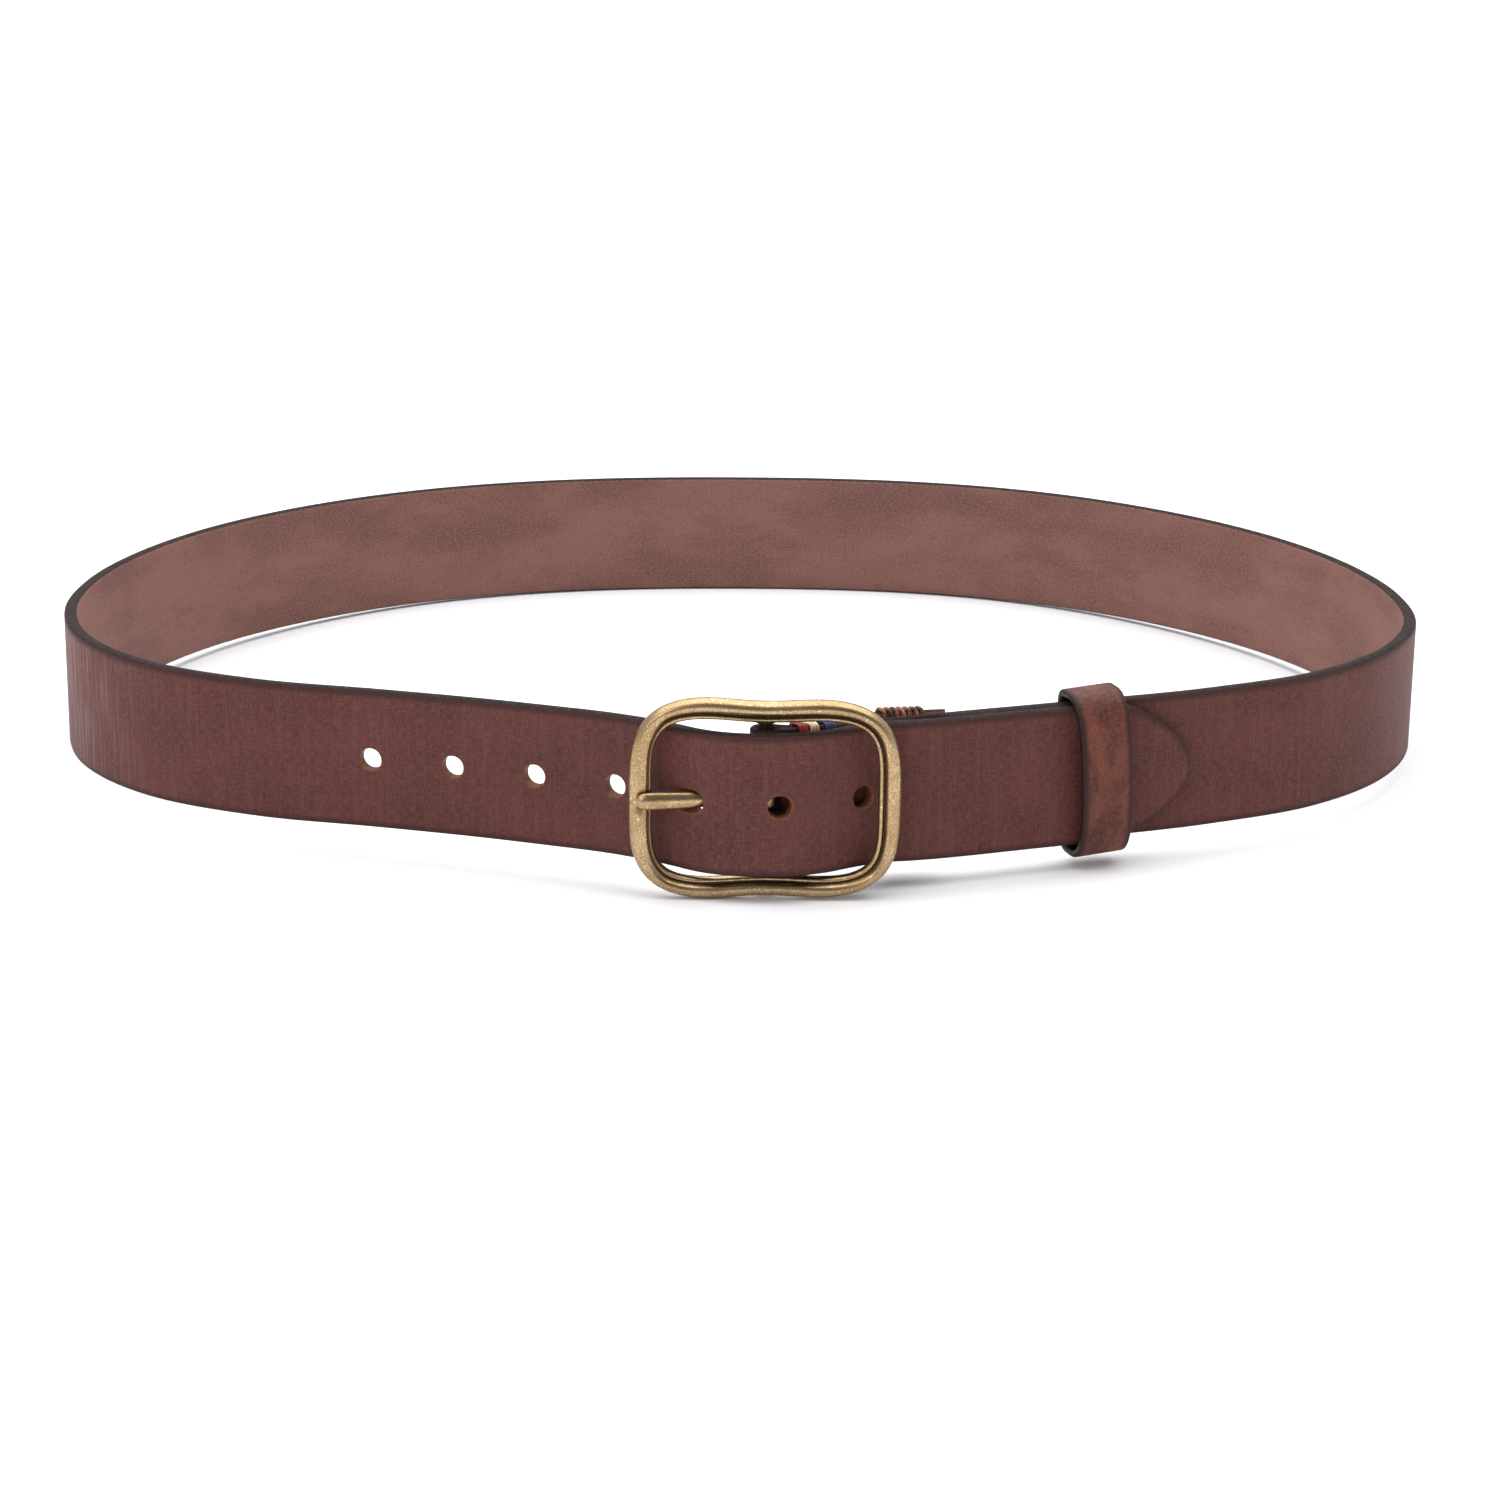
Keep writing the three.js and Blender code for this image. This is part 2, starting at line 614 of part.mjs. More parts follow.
const LEATHER = { color: 0x5e352e, roughness: 0.6, metalness: 0 };
const KEEPER_LEATHER = { color: 0x6b3a2c, roughness: 0.55, metalness: 0 };
const BRASS = { color: 0xb4925a, roughness: 0.38, metalness: 1 };
const STEEL = { color: 0x8f8f8c, roughness: 0.35, metalness: 1 };
const TAN_LACE = { color: 0xb0683c, roughness: 0.7, metalness: 0 };

function part(name, geometry, finish) {
  const mesh = new THREE.Mesh(geometry, new THREE.MeshStandardMaterial(finish));
  mesh.name = name;
  return mesh;
}

const belt = new THREE.Group();
belt.add(part('strap', strapGeometry(), LEATHER));
belt.add(part('buckle_frame', frameGeometry(), BRASS));
belt.add(part('centre_bar', toGeometry(toSolid(barCylinder(BAR_RADIUS, BAR_LENGTH))), BRASS));
belt.add(part('prong', prongGeometry(), BRASS));
belt.add(part('keeper_loop', keeperGeometry(), KEEPER_LEATHER));
belt.add(part('keeper_staple_front', toGeometry(toSolid(stapleGeometry(-1, 0))), STEEL));
belt.add(part('keeper_staple_rear', toGeometry(toSolid(stapleGeometry(1, 0))), STEEL));
for (const [edge, top] of [['top', true], ['bottom', false]]) {
  for (const whipping of WHIPPINGS) {
    const finish = { color: whipping.colour, roughness: 0.8, metalness: 0 };
    const loop = toSolid(bindingLoop(whippingRun(whipping, top)));
    belt.add(part(`${whipping.name}_${edge}`, toGeometry(loop), finish));
  }
  belt.add(part(`flap_lacing_${edge}`, toGeometry(toSolid(bindingLoop(lacingRun(top)))), TAN_LACE));
}

// The buckle is taller than the strap, so the ring leans back: it stands on the buckle and on the rear edge.
const frameTurns = [...Array(FRAME_STEPS).keys()].map((step) => (step / FRAME_STEPS) * 2 * Math.PI);
const BUCKLE_DROP = Math.max(...frameTurns.map((turn) => frameOutline(turn, 0).rise)) - FRAME_MID;
const REAR_EDGE_Y = Math.max(...rearSide.map(([, y]) => y)) + HALF - EDGE_BEVEL;
belt.rotation.x = -Math.asin(BUCKLE_DROP / (REAR_EDGE_Y - BAR_Y + FRAME_SET_FORWARD));

const standing = new THREE.Group();
standing.add(belt);
const box = new THREE.Box3().setFromObject(standing, true);
belt.position.set(-(box.min.x + box.max.x) / 2, -(box.min.y + box.max.y) / 2, -box.min.z);

export default standing;
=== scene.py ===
"""Looks of a fastened leather belt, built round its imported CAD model.

Shapes are made in the belt's own plan frame, in millimetres: x to the wearer's left, y to the rear, z up
from the strap's lower edge. to_world() turns that frame into the model's, which leans back a little.
"""

import json
import math

import bmesh
import bpy
import numpy as np
from mathutils import Matrix, Vector


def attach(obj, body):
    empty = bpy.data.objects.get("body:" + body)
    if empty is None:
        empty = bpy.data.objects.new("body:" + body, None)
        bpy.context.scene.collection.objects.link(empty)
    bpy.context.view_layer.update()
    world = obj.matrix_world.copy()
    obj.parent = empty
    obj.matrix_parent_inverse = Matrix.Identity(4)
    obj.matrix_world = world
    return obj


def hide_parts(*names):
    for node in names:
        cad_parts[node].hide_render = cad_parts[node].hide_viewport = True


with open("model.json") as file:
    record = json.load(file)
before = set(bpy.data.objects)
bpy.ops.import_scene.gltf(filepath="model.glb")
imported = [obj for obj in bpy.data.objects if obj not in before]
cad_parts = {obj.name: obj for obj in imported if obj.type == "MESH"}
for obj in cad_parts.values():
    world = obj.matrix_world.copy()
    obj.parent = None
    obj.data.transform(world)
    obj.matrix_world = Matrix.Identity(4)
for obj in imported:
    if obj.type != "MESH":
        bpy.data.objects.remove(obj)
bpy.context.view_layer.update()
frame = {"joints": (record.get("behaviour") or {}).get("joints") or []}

# ---- driving dimensions, in millimetres

STRAP_WIDTH = 38.8
STRAP_THICKNESS = 4.0
SKIVED_THICKNESS = 2.2
SKIVE_LENGTH = 5.0
GAP = 0.3
MID = STRAP_WIDTH / 2
HALF = STRAP_THICKNESS / 2
SKIVED_FRONT = SKIVED_THICKNESS - HALF
EDGE_ROUND = 0.95  # how far in from the outline the worn edge starts to turn
EDGE_POWER = 2.5  # exponent of the worn edge's profile
# The tip's outline: distance from the apex = a parabola and a fourth power of the half width.
TIP_LENGTH = 21.0
TIP_CURVATURE = 0.047
TIP_SHOULDER = (TIP_LENGTH - TIP_CURVATURE * MID ** 2) / MID ** 4

HOLE_RADIUS = 3.1
HOLE_PITCH = 23.6
HOLE_LIP = 0.35
FREE_HOLES = (-2, -1, 1, 2, 3, 4)  # places along the strap, counted from the hole in use

BAR = np.array([6.9, -150.0, MID])
BAR_RADIUS = 1.7
BAR_FILLET = 0.4
BAR_WORN_BY = 0.06  # how much thinner the bar is at its middle
BORE_RADIUS = BAR_RADIUS + GAP
FOLD_RADIUS = BORE_RADIUS + HALF

FRAME_WIDTH = 71.6
FRAME_HEIGHT = 56.5
FRAME_RISE = 0.5  # the frame sits a little high on the strap
FRAME_TAPER = 0.016
FRAME_POWER = 3.5
OPENING_POWER = 4.9
FRAME_WAIST = 1.6
FRAME_WAIST_SPREAD = 15.0
FRAME_BAR_WIDTH = 6.1
SECTION_WIDTH = 6.0  # the width that the sections below are drawn for
FRAME_SET_FORWARD = 2.8
FRAME_YAW = math.radians(0.5)
OPENING_HEIGHT = FRAME_HEIGHT - 2 * FRAME_WAIST - 2 * FRAME_BAR_WIDTH
BAR_LENGTH = OPENING_HEIGHT + 4.4
LUG_RISE = OPENING_HEIGHT / 2 + 2.0
LUG_LENGTH = 4.4
LUG_ROUND = 0.5
LUG_RADIUS = BORE_RADIUS + 1.2

PRONG_HEIGHT = 4.8
PRONG_THICKNESS = 2.8
PRONG_RISE = 0.3
PRONG_ROOT = BAR + (-2.0, -0.6, PRONG_RISE)
PRONG_TIP = BAR + (-33.7, -5.75, PRONG_RISE)
PRONG_LENGTH = np.linalg.norm(PRONG_TIP - PRONG_ROOT)
PRONG_ALONG = (PRONG_TIP - PRONG_ROOT) / PRONG_LENGTH
PRONG_FRONT = np.array([-PRONG_ALONG[1], PRONG_ALONG[0], 0])
PRONG_NOSE = 3.4  # length of the rounded end
PRONG_NOSE_POWER = 2.2
PRONG_TAPER = 0.12
PRONG_SWINGS = (-2.2, 0.0, 3.4)  # degrees of room in the hole in use
PRONG_HOLE_ROOM = 0.5  # room before and behind the prong in that hole
PRONG_EYE_RADIUS = BORE_RADIUS + 2.1

KEEPER_X = 95.5
KEEPER_WIDTH = 14.8
KEEPER_THICKNESS = 2.0
KEEPER_FRONT = 8.4  # from the plane between the layers to the loop's inside
KEEPER_REAR = 4.9  # and behind it
KEEPER_RISE = 21.2  # half the height of the loop's inside
KEEPER_FRONT_POWER = 2.6
KEEPER_REAR_POWER = 8.0
KEEPER_TILT = math.radians(-3)  # its top leans towards the buckle
KEEPER_EDGE_ROUND = 0.75
KEEPER_CROWN = 0.12

BINDING_DEPTH = 3.4

UP = np.array([0.0, 0.0, 1.0])

# ---- plan frame to model frame

hinge = next(joint for joint in frame["joints"] if joint["name"] == "buckle_rock")
WORLD_UP = np.array(hinge["axis"], float)
WORLD_X = np.array([1.0, 0.0, 0.0])
WORLD_AXES = np.array([WORLD_X, np.cross(WORLD_UP, WORLD_X), WORLD_UP])
WORLD_BAR = np.array(hinge["pos_m"], float)
MM = 0.001


def to_world(points):
    """Plan millimetres to model metres."""
    return WORLD_BAR + ((np.asarray(points, float) - BAR) * MM) @ WORLD_AXES


# ---- numbers along curves

def lerp(a, b, share):
    return a + (b - a) * share


def smoothstep(value, low, high):
    share = np.clip((value - low) / (high - low), 0, 1)
    return share * share * (3 - 2 * share)


def signed_power(value, power):
    """A power that keeps the sign, for superellipses."""
    return np.sign(value) * np.abs(value) ** power


def lengths_along(points):
    """Distance along a row of points, at each point."""
    return np.concatenate([[0], np.cumsum(np.linalg.norm(np.diff(points, axis=0), axis=1))])


def resampled(points, lengths, wanted):
    """The plane points at the wanted distances along a row of points."""
    return np.stack([np.interp(wanted, lengths, points[:, axis]) for axis in (0, 1)], 1)


def worn_edge(steps, round_by):
    """How far in, and how deep from 1 to -1, the points between the two faces of a worn edge lie."""
    turn = np.linspace(0, math.pi, steps + 1)[1:-1]
    reach = round_by * (1 - np.abs(np.sin(turn)) ** (2 / EDGE_POWER))
    return reach, signed_power(np.cos(turn), 2 / EDGE_POWER)


# ---- the strap's line in plan

LAYER_SLOPE = 0.36
LAYER_PLACE = (60, -133.33)  # a point on the inner layer's middle
LAYER_PITCH = (STRAP_THICKNESS + GAP) * math.hypot(1, LAYER_SLOPE)


def inner_layer_y(x):
    return LAYER_PLACE[1] + LAYER_SLOPE * (x - LAYER_PLACE[0])


def outer_layer_y(x):
    return inner_layer_y(x) - LAYER_PITCH


TIP_APEX = (122.3, -115.4)
OVER_BAR = [
    (46, -142.2), (38, -143.9), (30, -148.2), (22, -153.2), (13.5, -156.2), (5, -156.9), (-3, -156),
    (-10, -153.3), (-16.6, -148.7), (-24, -143.9), (-31, -140.2), (-38, -137.2),
]
LEFT_SIDE = [
    (-52, -132.3), (-72, -125.8), (-99, -118.4), (-131.4, -110.2), (-162.9, -94.1), (-185.7, -67.7),
    (-196.3, -34.6), (-195.8, 0.9), (-187.6, 33.2), (-173.3, 63.3), (-154.1, 89.1),
]
REAR_SIDE = [
    (-131.4, 110.3), (-106.4, 126.8), (-79.8, 138.3), (-52.9, 145.4), (-26.3, 149.2), (0, 150.6),
    (26.5, 150.3), (53.7, 147.5), (81.2, 140.7), (108.1, 128.8), (133.1, 111.7),
]
RIGHT_SIDE = [
    (155.7, 90), (174.8, 63.8), (188.8, 33.4), (196.4, 0.3), (195.5, -34.4), (182.1, -66.3), (158, -91.8),
    (128.4, -107.9),
]
STRAIGHT_XS = (115, 100, 78, 57)
FRONT_PLY_XS = (42, 27, 16)
FLAP_START = (12.8, 0.25)  # x, and how far the flap stands off the ply where it leaves the fold
FLAP_XS = (16, 21, 27.4)
FLAP_END = [(31.5, -138.4), (35.5, -134.2), (43, -132.7), (51, -131.2), (54.5, -130.6)]
FOLD_SWEEP = math.radians(190)
FOLD_STEPS = 8

PLY_START = (STRAIGHT_XS[-1], inner_layer_y(STRAIGHT_XS[-1]))
PLY_REACH = (PLY_START[0] - BAR[0], PLY_START[1] - BAR[1])
PLY_ANGLE = math.atan2(PLY_REACH[1], PLY_REACH[0]) + math.asin(FOLD_RADIUS / math.hypot(*PLY_REACH))
PLY_STACK = (2 * HALF + GAP) / math.cos(PLY_ANGLE)


def ply_y(x):
    """The front ply of the fold, straight from the inner layer to the fold's circle."""
    return PLY_START[1] + math.tan(PLY_ANGLE) * (x - PLY_START[0])


def fold_points():
    turns = [PLY_ANGLE - math.pi / 2 - FOLD_SWEEP * step / FOLD_STEPS for step in range(FOLD_STEPS + 1)]
    return [(BAR[0] + FOLD_RADIUS * math.cos(t), BAR[1] + FOLD_RADIUS * math.sin(t)) for t in turns]


def plan_points():
    """The strap's line from the tip's apex, over the bar, round the ring and the fold, to the flap's end."""
    start_x, stand_off = FLAP_START
    flap = [(start_x, ply_y(start_x) + PLY_STACK + stand_off)]
    flap += [(x, ply_y(x) + PLY_STACK) for x in FLAP_XS]
    return np.array(
        [TIP_APEX] + [(x, outer_layer_y(x)) for x in STRAIGHT_XS]
        + OVER_BAR + LEFT_SIDE + REAR_SIDE + RIGHT_SIDE
        + [(x, inner_layer_y(x)) for x in STRAIGHT_XS]
        + [(x, ply_y(x)) for x in FRONT_PLY_XS] + fold_points() + flap + FLAP_END
    )


def centripetal_curve(points, per_span):
    """Points along the centripetal Catmull-Rom curve through a row of points."""
    points = np.vstack([2 * points[0] - points[1], points, 2 * points[-1] - points[-2]])
    t = np.linspace(0, 1, per_span, endpoint=False)[:, None]
    spans = []
    for p0, p1, p2, p3 in zip(points, points[1:], points[2:], points[3:]):
        d0, d1, d2 = (math.sqrt(np.linalg.norm(b - a)) for a, b in ((p0, p1), (p1, p2), (p2, p3)))
        start = ((p1 - p0) / d0 - (p2 - p0) / (d0 + d1) + (p2 - p1) / d1) * d1
        end = ((p2 - p1) / d1 - (p3 - p1) / (d1 + d2) + (p3 - p2) / d2) * d1
        square = -3 * p1 + 3 * p2 - 2 * start - end
        cube = 2 * p1 - 2 * p2 + start + end
        spans.append(p1 + start * t + square * t ** 2 + cube * t ** 3)
    return np.vstack(spans + [points[-2][None]])


LINE_DETAIL = 400
LINE = centripetal_curve(plan_points(), LINE_DETAIL)
LINE_DISTANCE = lengths_along(LINE)
LINE_LENGTH = LINE_DISTANCE[-1]
LINE_STEP = 0.2
LINE_EVEN = np.arange(0, LINE_LENGTH + LINE_STEP, LINE_STEP)
LINE_XY = resampled(LINE, LINE_DISTANCE, LINE_EVEN)


def smoothed(values, sigma_steps):
    """Values along the line after a Gaussian blur, with the ends held."""
    reach = int(4 * sigma_steps)
    kernel = np.exp(-0.5 * (np.arange(-reach, reach + 1) / sigma_steps) ** 2)
    padded = np.pad(values, reach, mode="edge")
    return np.convolve(padded, kernel / kernel.sum(), mode="valid")


LINE_BLUR = 3
LINE_TURN = smoothed(np.unwrap(np.arctan2(*np.gradient(LINE_XY, axis=0).T[::-1])), LINE_BLUR)


def station(distance):
    """Plan position and outward (grain side) normal at distances along the line."""
    distance = np.asarray(distance, float)
    xy = np.stack([np.interp(distance, LINE_EVEN, LINE_XY[:, axis]) for axis in (0, 1)], -1)
    turn = np.interp(distance, LINE_EVEN, LINE_TURN)
    beyond = np.minimum(distance, 0)[..., None]
    xy = xy + beyond * np.stack([np.cos(turn), np.sin(turn)], -1)
    return xy, np.stack([-np.sin(turn), np.cos(turn)], -1)


def distance_near(x, y, low=0.0, high=LINE_LENGTH):
    """Distance along the line of the place nearest to a plan point."""
    reach = np.hypot(LINE_XY[:, 0] - x, LINE_XY[:, 1] - y)
    reach[(LINE_EVEN < low) | (LINE_EVEN > high)] = np.inf
    return LINE_EVEN[np.argmin(reach)]


HOLE_IN_USE = distance_near(-12, -152)
SKIVE_START = distance_near(56.5, ply_y(56.5), low=800)


def grain_reach(distance):
    """How far the leather reaches to the grain side of the line: full, then skived."""
    share = smoothstep(distance, SKIVE_START, SKIVE_START + SKIVE_LENGTH)
    return HALF + (SKIVED_FRONT - HALF) * share


def strap_point(distance, rise, depth):
    """Plan point at a distance along the strap, a rise from its middle, and a depth from -1 (flesh) to 1."""
    distance, rise, depth = np.broadcast_arrays(distance, rise, depth)
    xy, grain = station(distance)
    out = -HALF + (grain_reach(distance) + HALF) * (depth + 1) / 2
    return np.concatenate([xy + grain * out[..., None], (MID + rise)[..., None]], -1)


# ---- meshes

WELD_DISTANCE = 2e-7  # metres
JOINED_SHARP_DEGREES = 32
CORD_LAY = 2.4  # length of one turn of a laid cord's plies
CORD_LOBE = 0.13


def make_mesh(name, points, faces, attributes=None, sharp_degrees=None):
    """An object from plan points; attributes are per-point floats or vectors."""
    mesh = bpy.data.meshes.new(name)
    mesh.from_pydata(to_world(points).tolist(), [], faces)
    for key, values in (attributes or {}).items():
        kind, field = ("FLOAT_VECTOR", "vector") if np.ndim(values) == 2 else ("FLOAT", "value")
        layer = mesh.attributes.new(key, kind, "POINT")
        layer.data.foreach_set(field, np.asarray(values, np.float32).ravel())
    return finish_mesh(name, mesh, sharp_degrees)


def linked(name, data):
    """A new object of some data, in the scene."""
    made = bpy.data.objects.new(name, data)
    bpy.context.scene.collection.objects.link(made)
    return made


def finish_mesh(name, mesh, sharp_degrees):
    """Cleans a mesh, shades it and puts it in the scene."""
    work = bmesh.new()
    work.from_mesh(mesh)
    bmesh.ops.remove_doubles(work, verts=work.verts, dist=WELD_DISTANCE)
    bmesh.ops.recalc_face_normals(work, faces=work.faces)
    work.to_mesh(mesh)
    work.free()
    mesh.shade_smooth()
    if sharp_degrees:
        mesh.set_sharp_from_angle(angle=math.radians(sharp_degrees))
    return linked(name, mesh)


def band(low, high):
    """Faces between two closed rows of point indices."""
    low, high = [[int(index) for index in row] for row in (low, high)]
    return list(zip(low, low[1:] + low[:1], high[1:] + high[:1], high))


def row_of(row, sides):
    return range(row * sides, (row + 1) * sides)


def grid_faces(rows, sides, close_rows=False):
    """Faces of a loft whose sections each hold the same number of points."""
    faces = []
    for row in range(rows if close_rows else rows - 1):
        faces += band(row_of(row, sides), row_of((row + 1) % rows, sides))
    if not close_rows:
        faces += [tuple(row_of(0, sides)), tuple(reversed(row_of(rows - 1, sides)))]
    return faces


def tube(points, side_axis, radius, sides, lobes=0):
    """Sections of a round cord along points; with lobes it is a laid cord of that many plies."""
    points = np.asarray(points, float)
    along = np.gradient(points, axis=0)
    along /= np.linalg.norm(along, axis=1)[:, None]
    first = side_axis - along * (along @ side_axis)[:, None]
    first /= np.linalg.norm(first, axis=1)[:, None]
    second = np.cross(along, first)
    length = lengths_along(points)
    turn = 2 * math.pi * np.arange(sides) / sides
    twist = turn[None] - 2 * math.pi * length[:, None] / CORD_LAY
    swell = radius * (1 + (CORD_LOBE * np.cos(lobes * twist) if lobes else 0 * twist))[..., None]
    ring = first[:, None] * np.cos(turn)[None, :, None] + second[:, None] * np.sin(turn)[None, :, None]
    return (points[:, None] + swell * ring).reshape(-1, 3), length


def joined(name, first, second, operation):
    """The exact boolean of two objects, as a new one; both are removed."""
    modifier = first.modifiers.new("join", "BOOLEAN")
    modifier.operation = operation
    modifier.solver = "EXACT"
    modifier.object = second
    bpy.context.view_layer.update()
    result = bpy.data.meshes.new_from_object(first.evaluated_get(bpy.context.evaluated_depsgraph_get()))
    for used in (first, second):
        bpy.data.objects.remove(used)
    result.name = name
    return finish_mesh(name, result, JOINED_SHARP_DEGREES)


# ---- strap

FACE_HALF = MID - EDGE_ROUND
WINDOW_HALF = 4.5  # half height of the grid's window round each hole
WINDOW_ROWS = 10
OUTER_ROWS = 11
EDGE_STEPS = 9
TIP_COLUMNS = 26
RING_STEP = 1.9
FLAP_STEP = 1.2
END_ROOM = 0.6
END_INSETS = (0.25, 0.05, 0)  # the last columns, from the flap's end
END_SQUEEZE = {-3: 0.97, -2: 0.88, -1: 0.72}
TIP_BLEND_POWER = 32.0
LEFT_BEND = (-193, -48)  # where the grain has cracked pale from bending
LEFT_BEND_REACH = 40
EYE_SLOT_REACH = 6.0  # how far along each ply the slot for the prong's eye runs from the bar
EYE_SLOT_RISE = 3.6
HOLE_BLENDS = (0.66, 0.33, 0.1)  # rings between a hole's window and its lip
# Rings over a hole's lip: share of the lip, depth, rawness.
HOLE_LIPS = [(1, 0.995, 0.4), (0.45, 0.95, 0.8), (0.12, 0.88, 1), (0, 0.78, 1)]
WALL_DEPTH = HOLE_LIPS[-1][1]
WALL_SHARES = (0.25, 0.5, 0.75)


def half_width(distance):
    """Half the strap's width, with the tip's shoulders eased."""
    root = np.sqrt(TIP_CURVATURE ** 2 + 4 * TIP_SHOULDER * np.maximum(distance, 0))
    tip = np.sqrt((root - TIP_CURVATURE) / (2 * TIP_SHOULDER)) + 1e-9
    return (tip ** -TIP_BLEND_POWER + MID ** -TIP_BLEND_POWER) ** (-1 / TIP_BLEND_POWER)


def face_shares():
    """Rises of a face's rows as shares of its half height, from the top down."""
    inner = np.linspace(-1, 1, WINDOW_ROWS + 1) * WINDOW_HALF / FACE_HALF
    outer = np.linspace(1, WINDOW_HALF / FACE_HALF, OUTER_ROWS, endpoint=False)
    return np.concatenate([outer, inner[::-1], -outer[::-1]])


def prong_axis_offset(xy, swing_degrees):
    """How far plan points lie in front of the prong's middle line, swung about the bar."""
    swing = math.radians(swing_degrees)
    back = np.array([[math.cos(swing), -math.sin(swing)], [math.sin(swing), math.cos(swing)]])
    place = (xy - BAR[:2]) @ back
    offset = place - (PRONG_ROOT - BAR)[:2]
    return offset[..., 0] * PRONG_FRONT[0] + offset[..., 1] * PRONG_FRONT[1]


def prong_hole_span(depth):
    """Where the slanted hole for the prong starts and ends at a depth, with room for its swing."""
    distances = np.arange(HOLE_IN_USE - 12, HOLE_IN_USE + 12, 0.02)
    points = strap_point(distances, 0, depth)[:, :2]
    offsets = [np.abs(prong_axis_offset(points, swing)) for swing in PRONG_SWINGS]
    inside = distances[np.min(offsets, axis=0) < PRONG_THICKNESS / 2 + PRONG_HOLE_ROOM]
    return inside.min(), inside.max()


class Opening:
    """A hole through the strap: its middle and half length on each face, its half height and its shape."""

    MARGIN = 1.3

    def __init__(self, grain, flesh, rise, power=2.0, cell=0.9):
        self.middle = {1: sum(grain) / 2, -1: sum(flesh) / 2}
        self.half = {1: (grain[1] - grain[0]) / 2, -1: (flesh[1] - flesh[0]) / 2}
        self.rise = rise
        self.power = power
        self.cell = cell
        reach = max(self.half.values()) + self.MARGIN
        self.cells = 2 * math.ceil(reach / cell)
        self.window = self.cells * cell / 2
        shift = round((self.middle[1] - self.middle[-1]) / cell)
        self.shift = {1: 0, -1: -shift}
        self.start = self.middle[1] - self.window + min(0, -shift) * cell
        self.end = self.middle[1] + self.window + max(0, -shift) * cell

    def stations(self):
        count = round((self.end - self.start) / self.cell)
        return np.linspace(self.start, self.end, count + 1)


def beside_bar(along, out):
    """Plan point at a distance along the fold's plies from the bar, and a distance out from between them."""
    c, s = math.cos(PLY_ANGLE), math.sin(PLY_ANGLE)
    return BAR[0] + along * c + out * s, BAR[1] + along * s - out * c


def openings():
    """The six free holes, the hole in use and the slot for the prong's eye, in order along the strap."""
    holes = []
    for place in FREE_HOLES:
        middle = HOLE_IN_USE + place * HOLE_PITCH
        span = (middle - HOLE_RADIUS, middle + HOLE_RADIUS)
        holes.append(Opening(span, span, HOLE_RADIUS))
    holes.append(Opening(prong_hole_span(1), prong_hole_span(-1), HOLE_RADIUS + 0.1, power=2.6))
    first = distance_near(*beside_bar(EYE_SLOT_REACH, FOLD_RADIUS), low=SKIVE_START)
    last = distance_near(*beside_bar(EYE_SLOT_REACH, -FOLD_RADIUS), low=first + 2 * EYE_SLOT_REACH)
    holes.append(Opening((first, last), (first, last), EYE_SLOT_RISE, power=7.0, cell=0.7))
    return sorted(holes, key=lambda hole: hole.start)


def strap_stations(holes):
    """Distances of the grid's columns: close at the tip, the holes and the folds, wider round the ring."""
    halves = np.linspace(0, MID + 1, TIP_COLUMNS)
    tip = TIP_CURVATURE * halves ** 2 + TIP_SHOULDER * halves ** 4
    pieces = [tip]
    reached = tip[-1]
    for hole in holes:
        gap = hole.start - reached
        pieces.append(np.linspace(reached, hole.start, math.ceil(gap / RING_STEP) + 1)[1:-1])
        pieces.append(hole.stations())
        reached = hole.end
    count = math.ceil((LINE_LENGTH - reached) / FLAP_STEP)
    pieces.append(np.linspace(reached, LINE_LENGTH - END_ROOM, count + 1)[1:])
    pieces.append([LINE_LENGTH - inset for inset in END_INSETS])
    return np.concatenate(pieces)


def strap_grid(distances):
    """Distance, rise and depth of every point of the plain strap, one row of points for each column."""
    width = half_width(distances)
    slope = np.gradient(np.stack([distances, width], 1), axis=0)
    slope[0] = (0, 1)
    inward = np.stack([slope[:, 1], -slope[:, 0]], 1) / np.linalg.norm(slope, axis=1)[:, None]
    width[0] = 0
    shares = face_shares()
    reach, level = worn_edge(EDGE_STEPS, EDGE_ROUND)

    def face(rises, depth):
        s = np.repeat(distances[:, None] + inward[:, :1] * EDGE_ROUND, len(rises), 1)
        z = (width[:, None] + inward[:, 1:] * EDGE_ROUND) * rises
        return np.stack([s, z, np.full_like(s, depth)], -1)

    def edge(sign, depths):
        s = distances[:, None] + inward[:, :1] * reach
        z = sign * (width[:, None] + inward[:, 1:] * reach)
        return np.stack([s, z, np.broadcast_to(depths, s.shape)], -1)

    sides = face(shares, 1), edge(-1, level), face(shares[::-1], -1), edge(1, -level)
    grid = np.concatenate(sides, 1)
    for column, squeeze in END_SQUEEZE.items():
        grid[column, :, 2] *= squeeze
    return grid


def window_loop(hole, side, distances, sides):
    """Indices of the grid points round a hole's window on one face, in order, and the cells that it takes."""
    start = int(np.argmin(np.abs(distances - (hole.middle[1] - hole.window)))) + hole.shift[side]
    columns = range(start, start + hole.cells + 1)
    places = range(OUTER_ROWS, OUTER_ROWS + WINDOW_ROWS + 1)
    if side == -1:
        last = 2 * len(face_shares()) + EDGE_STEPS - 2
        places = [last - place for place in places]
    loop = [(column, places[0]) for column in columns[:-1]] + [(columns[-1], place) for place in places[:-1]]
    loop += [(column, places[-1]) for column in columns[:0:-1]] + [(start, place) for place in places[:0:-1]]
    cells = {(column, min(pair)) for column in columns[:-1] for pair in zip(places, places[1:])}
    return [column * sides + place for column, place in loop], cells


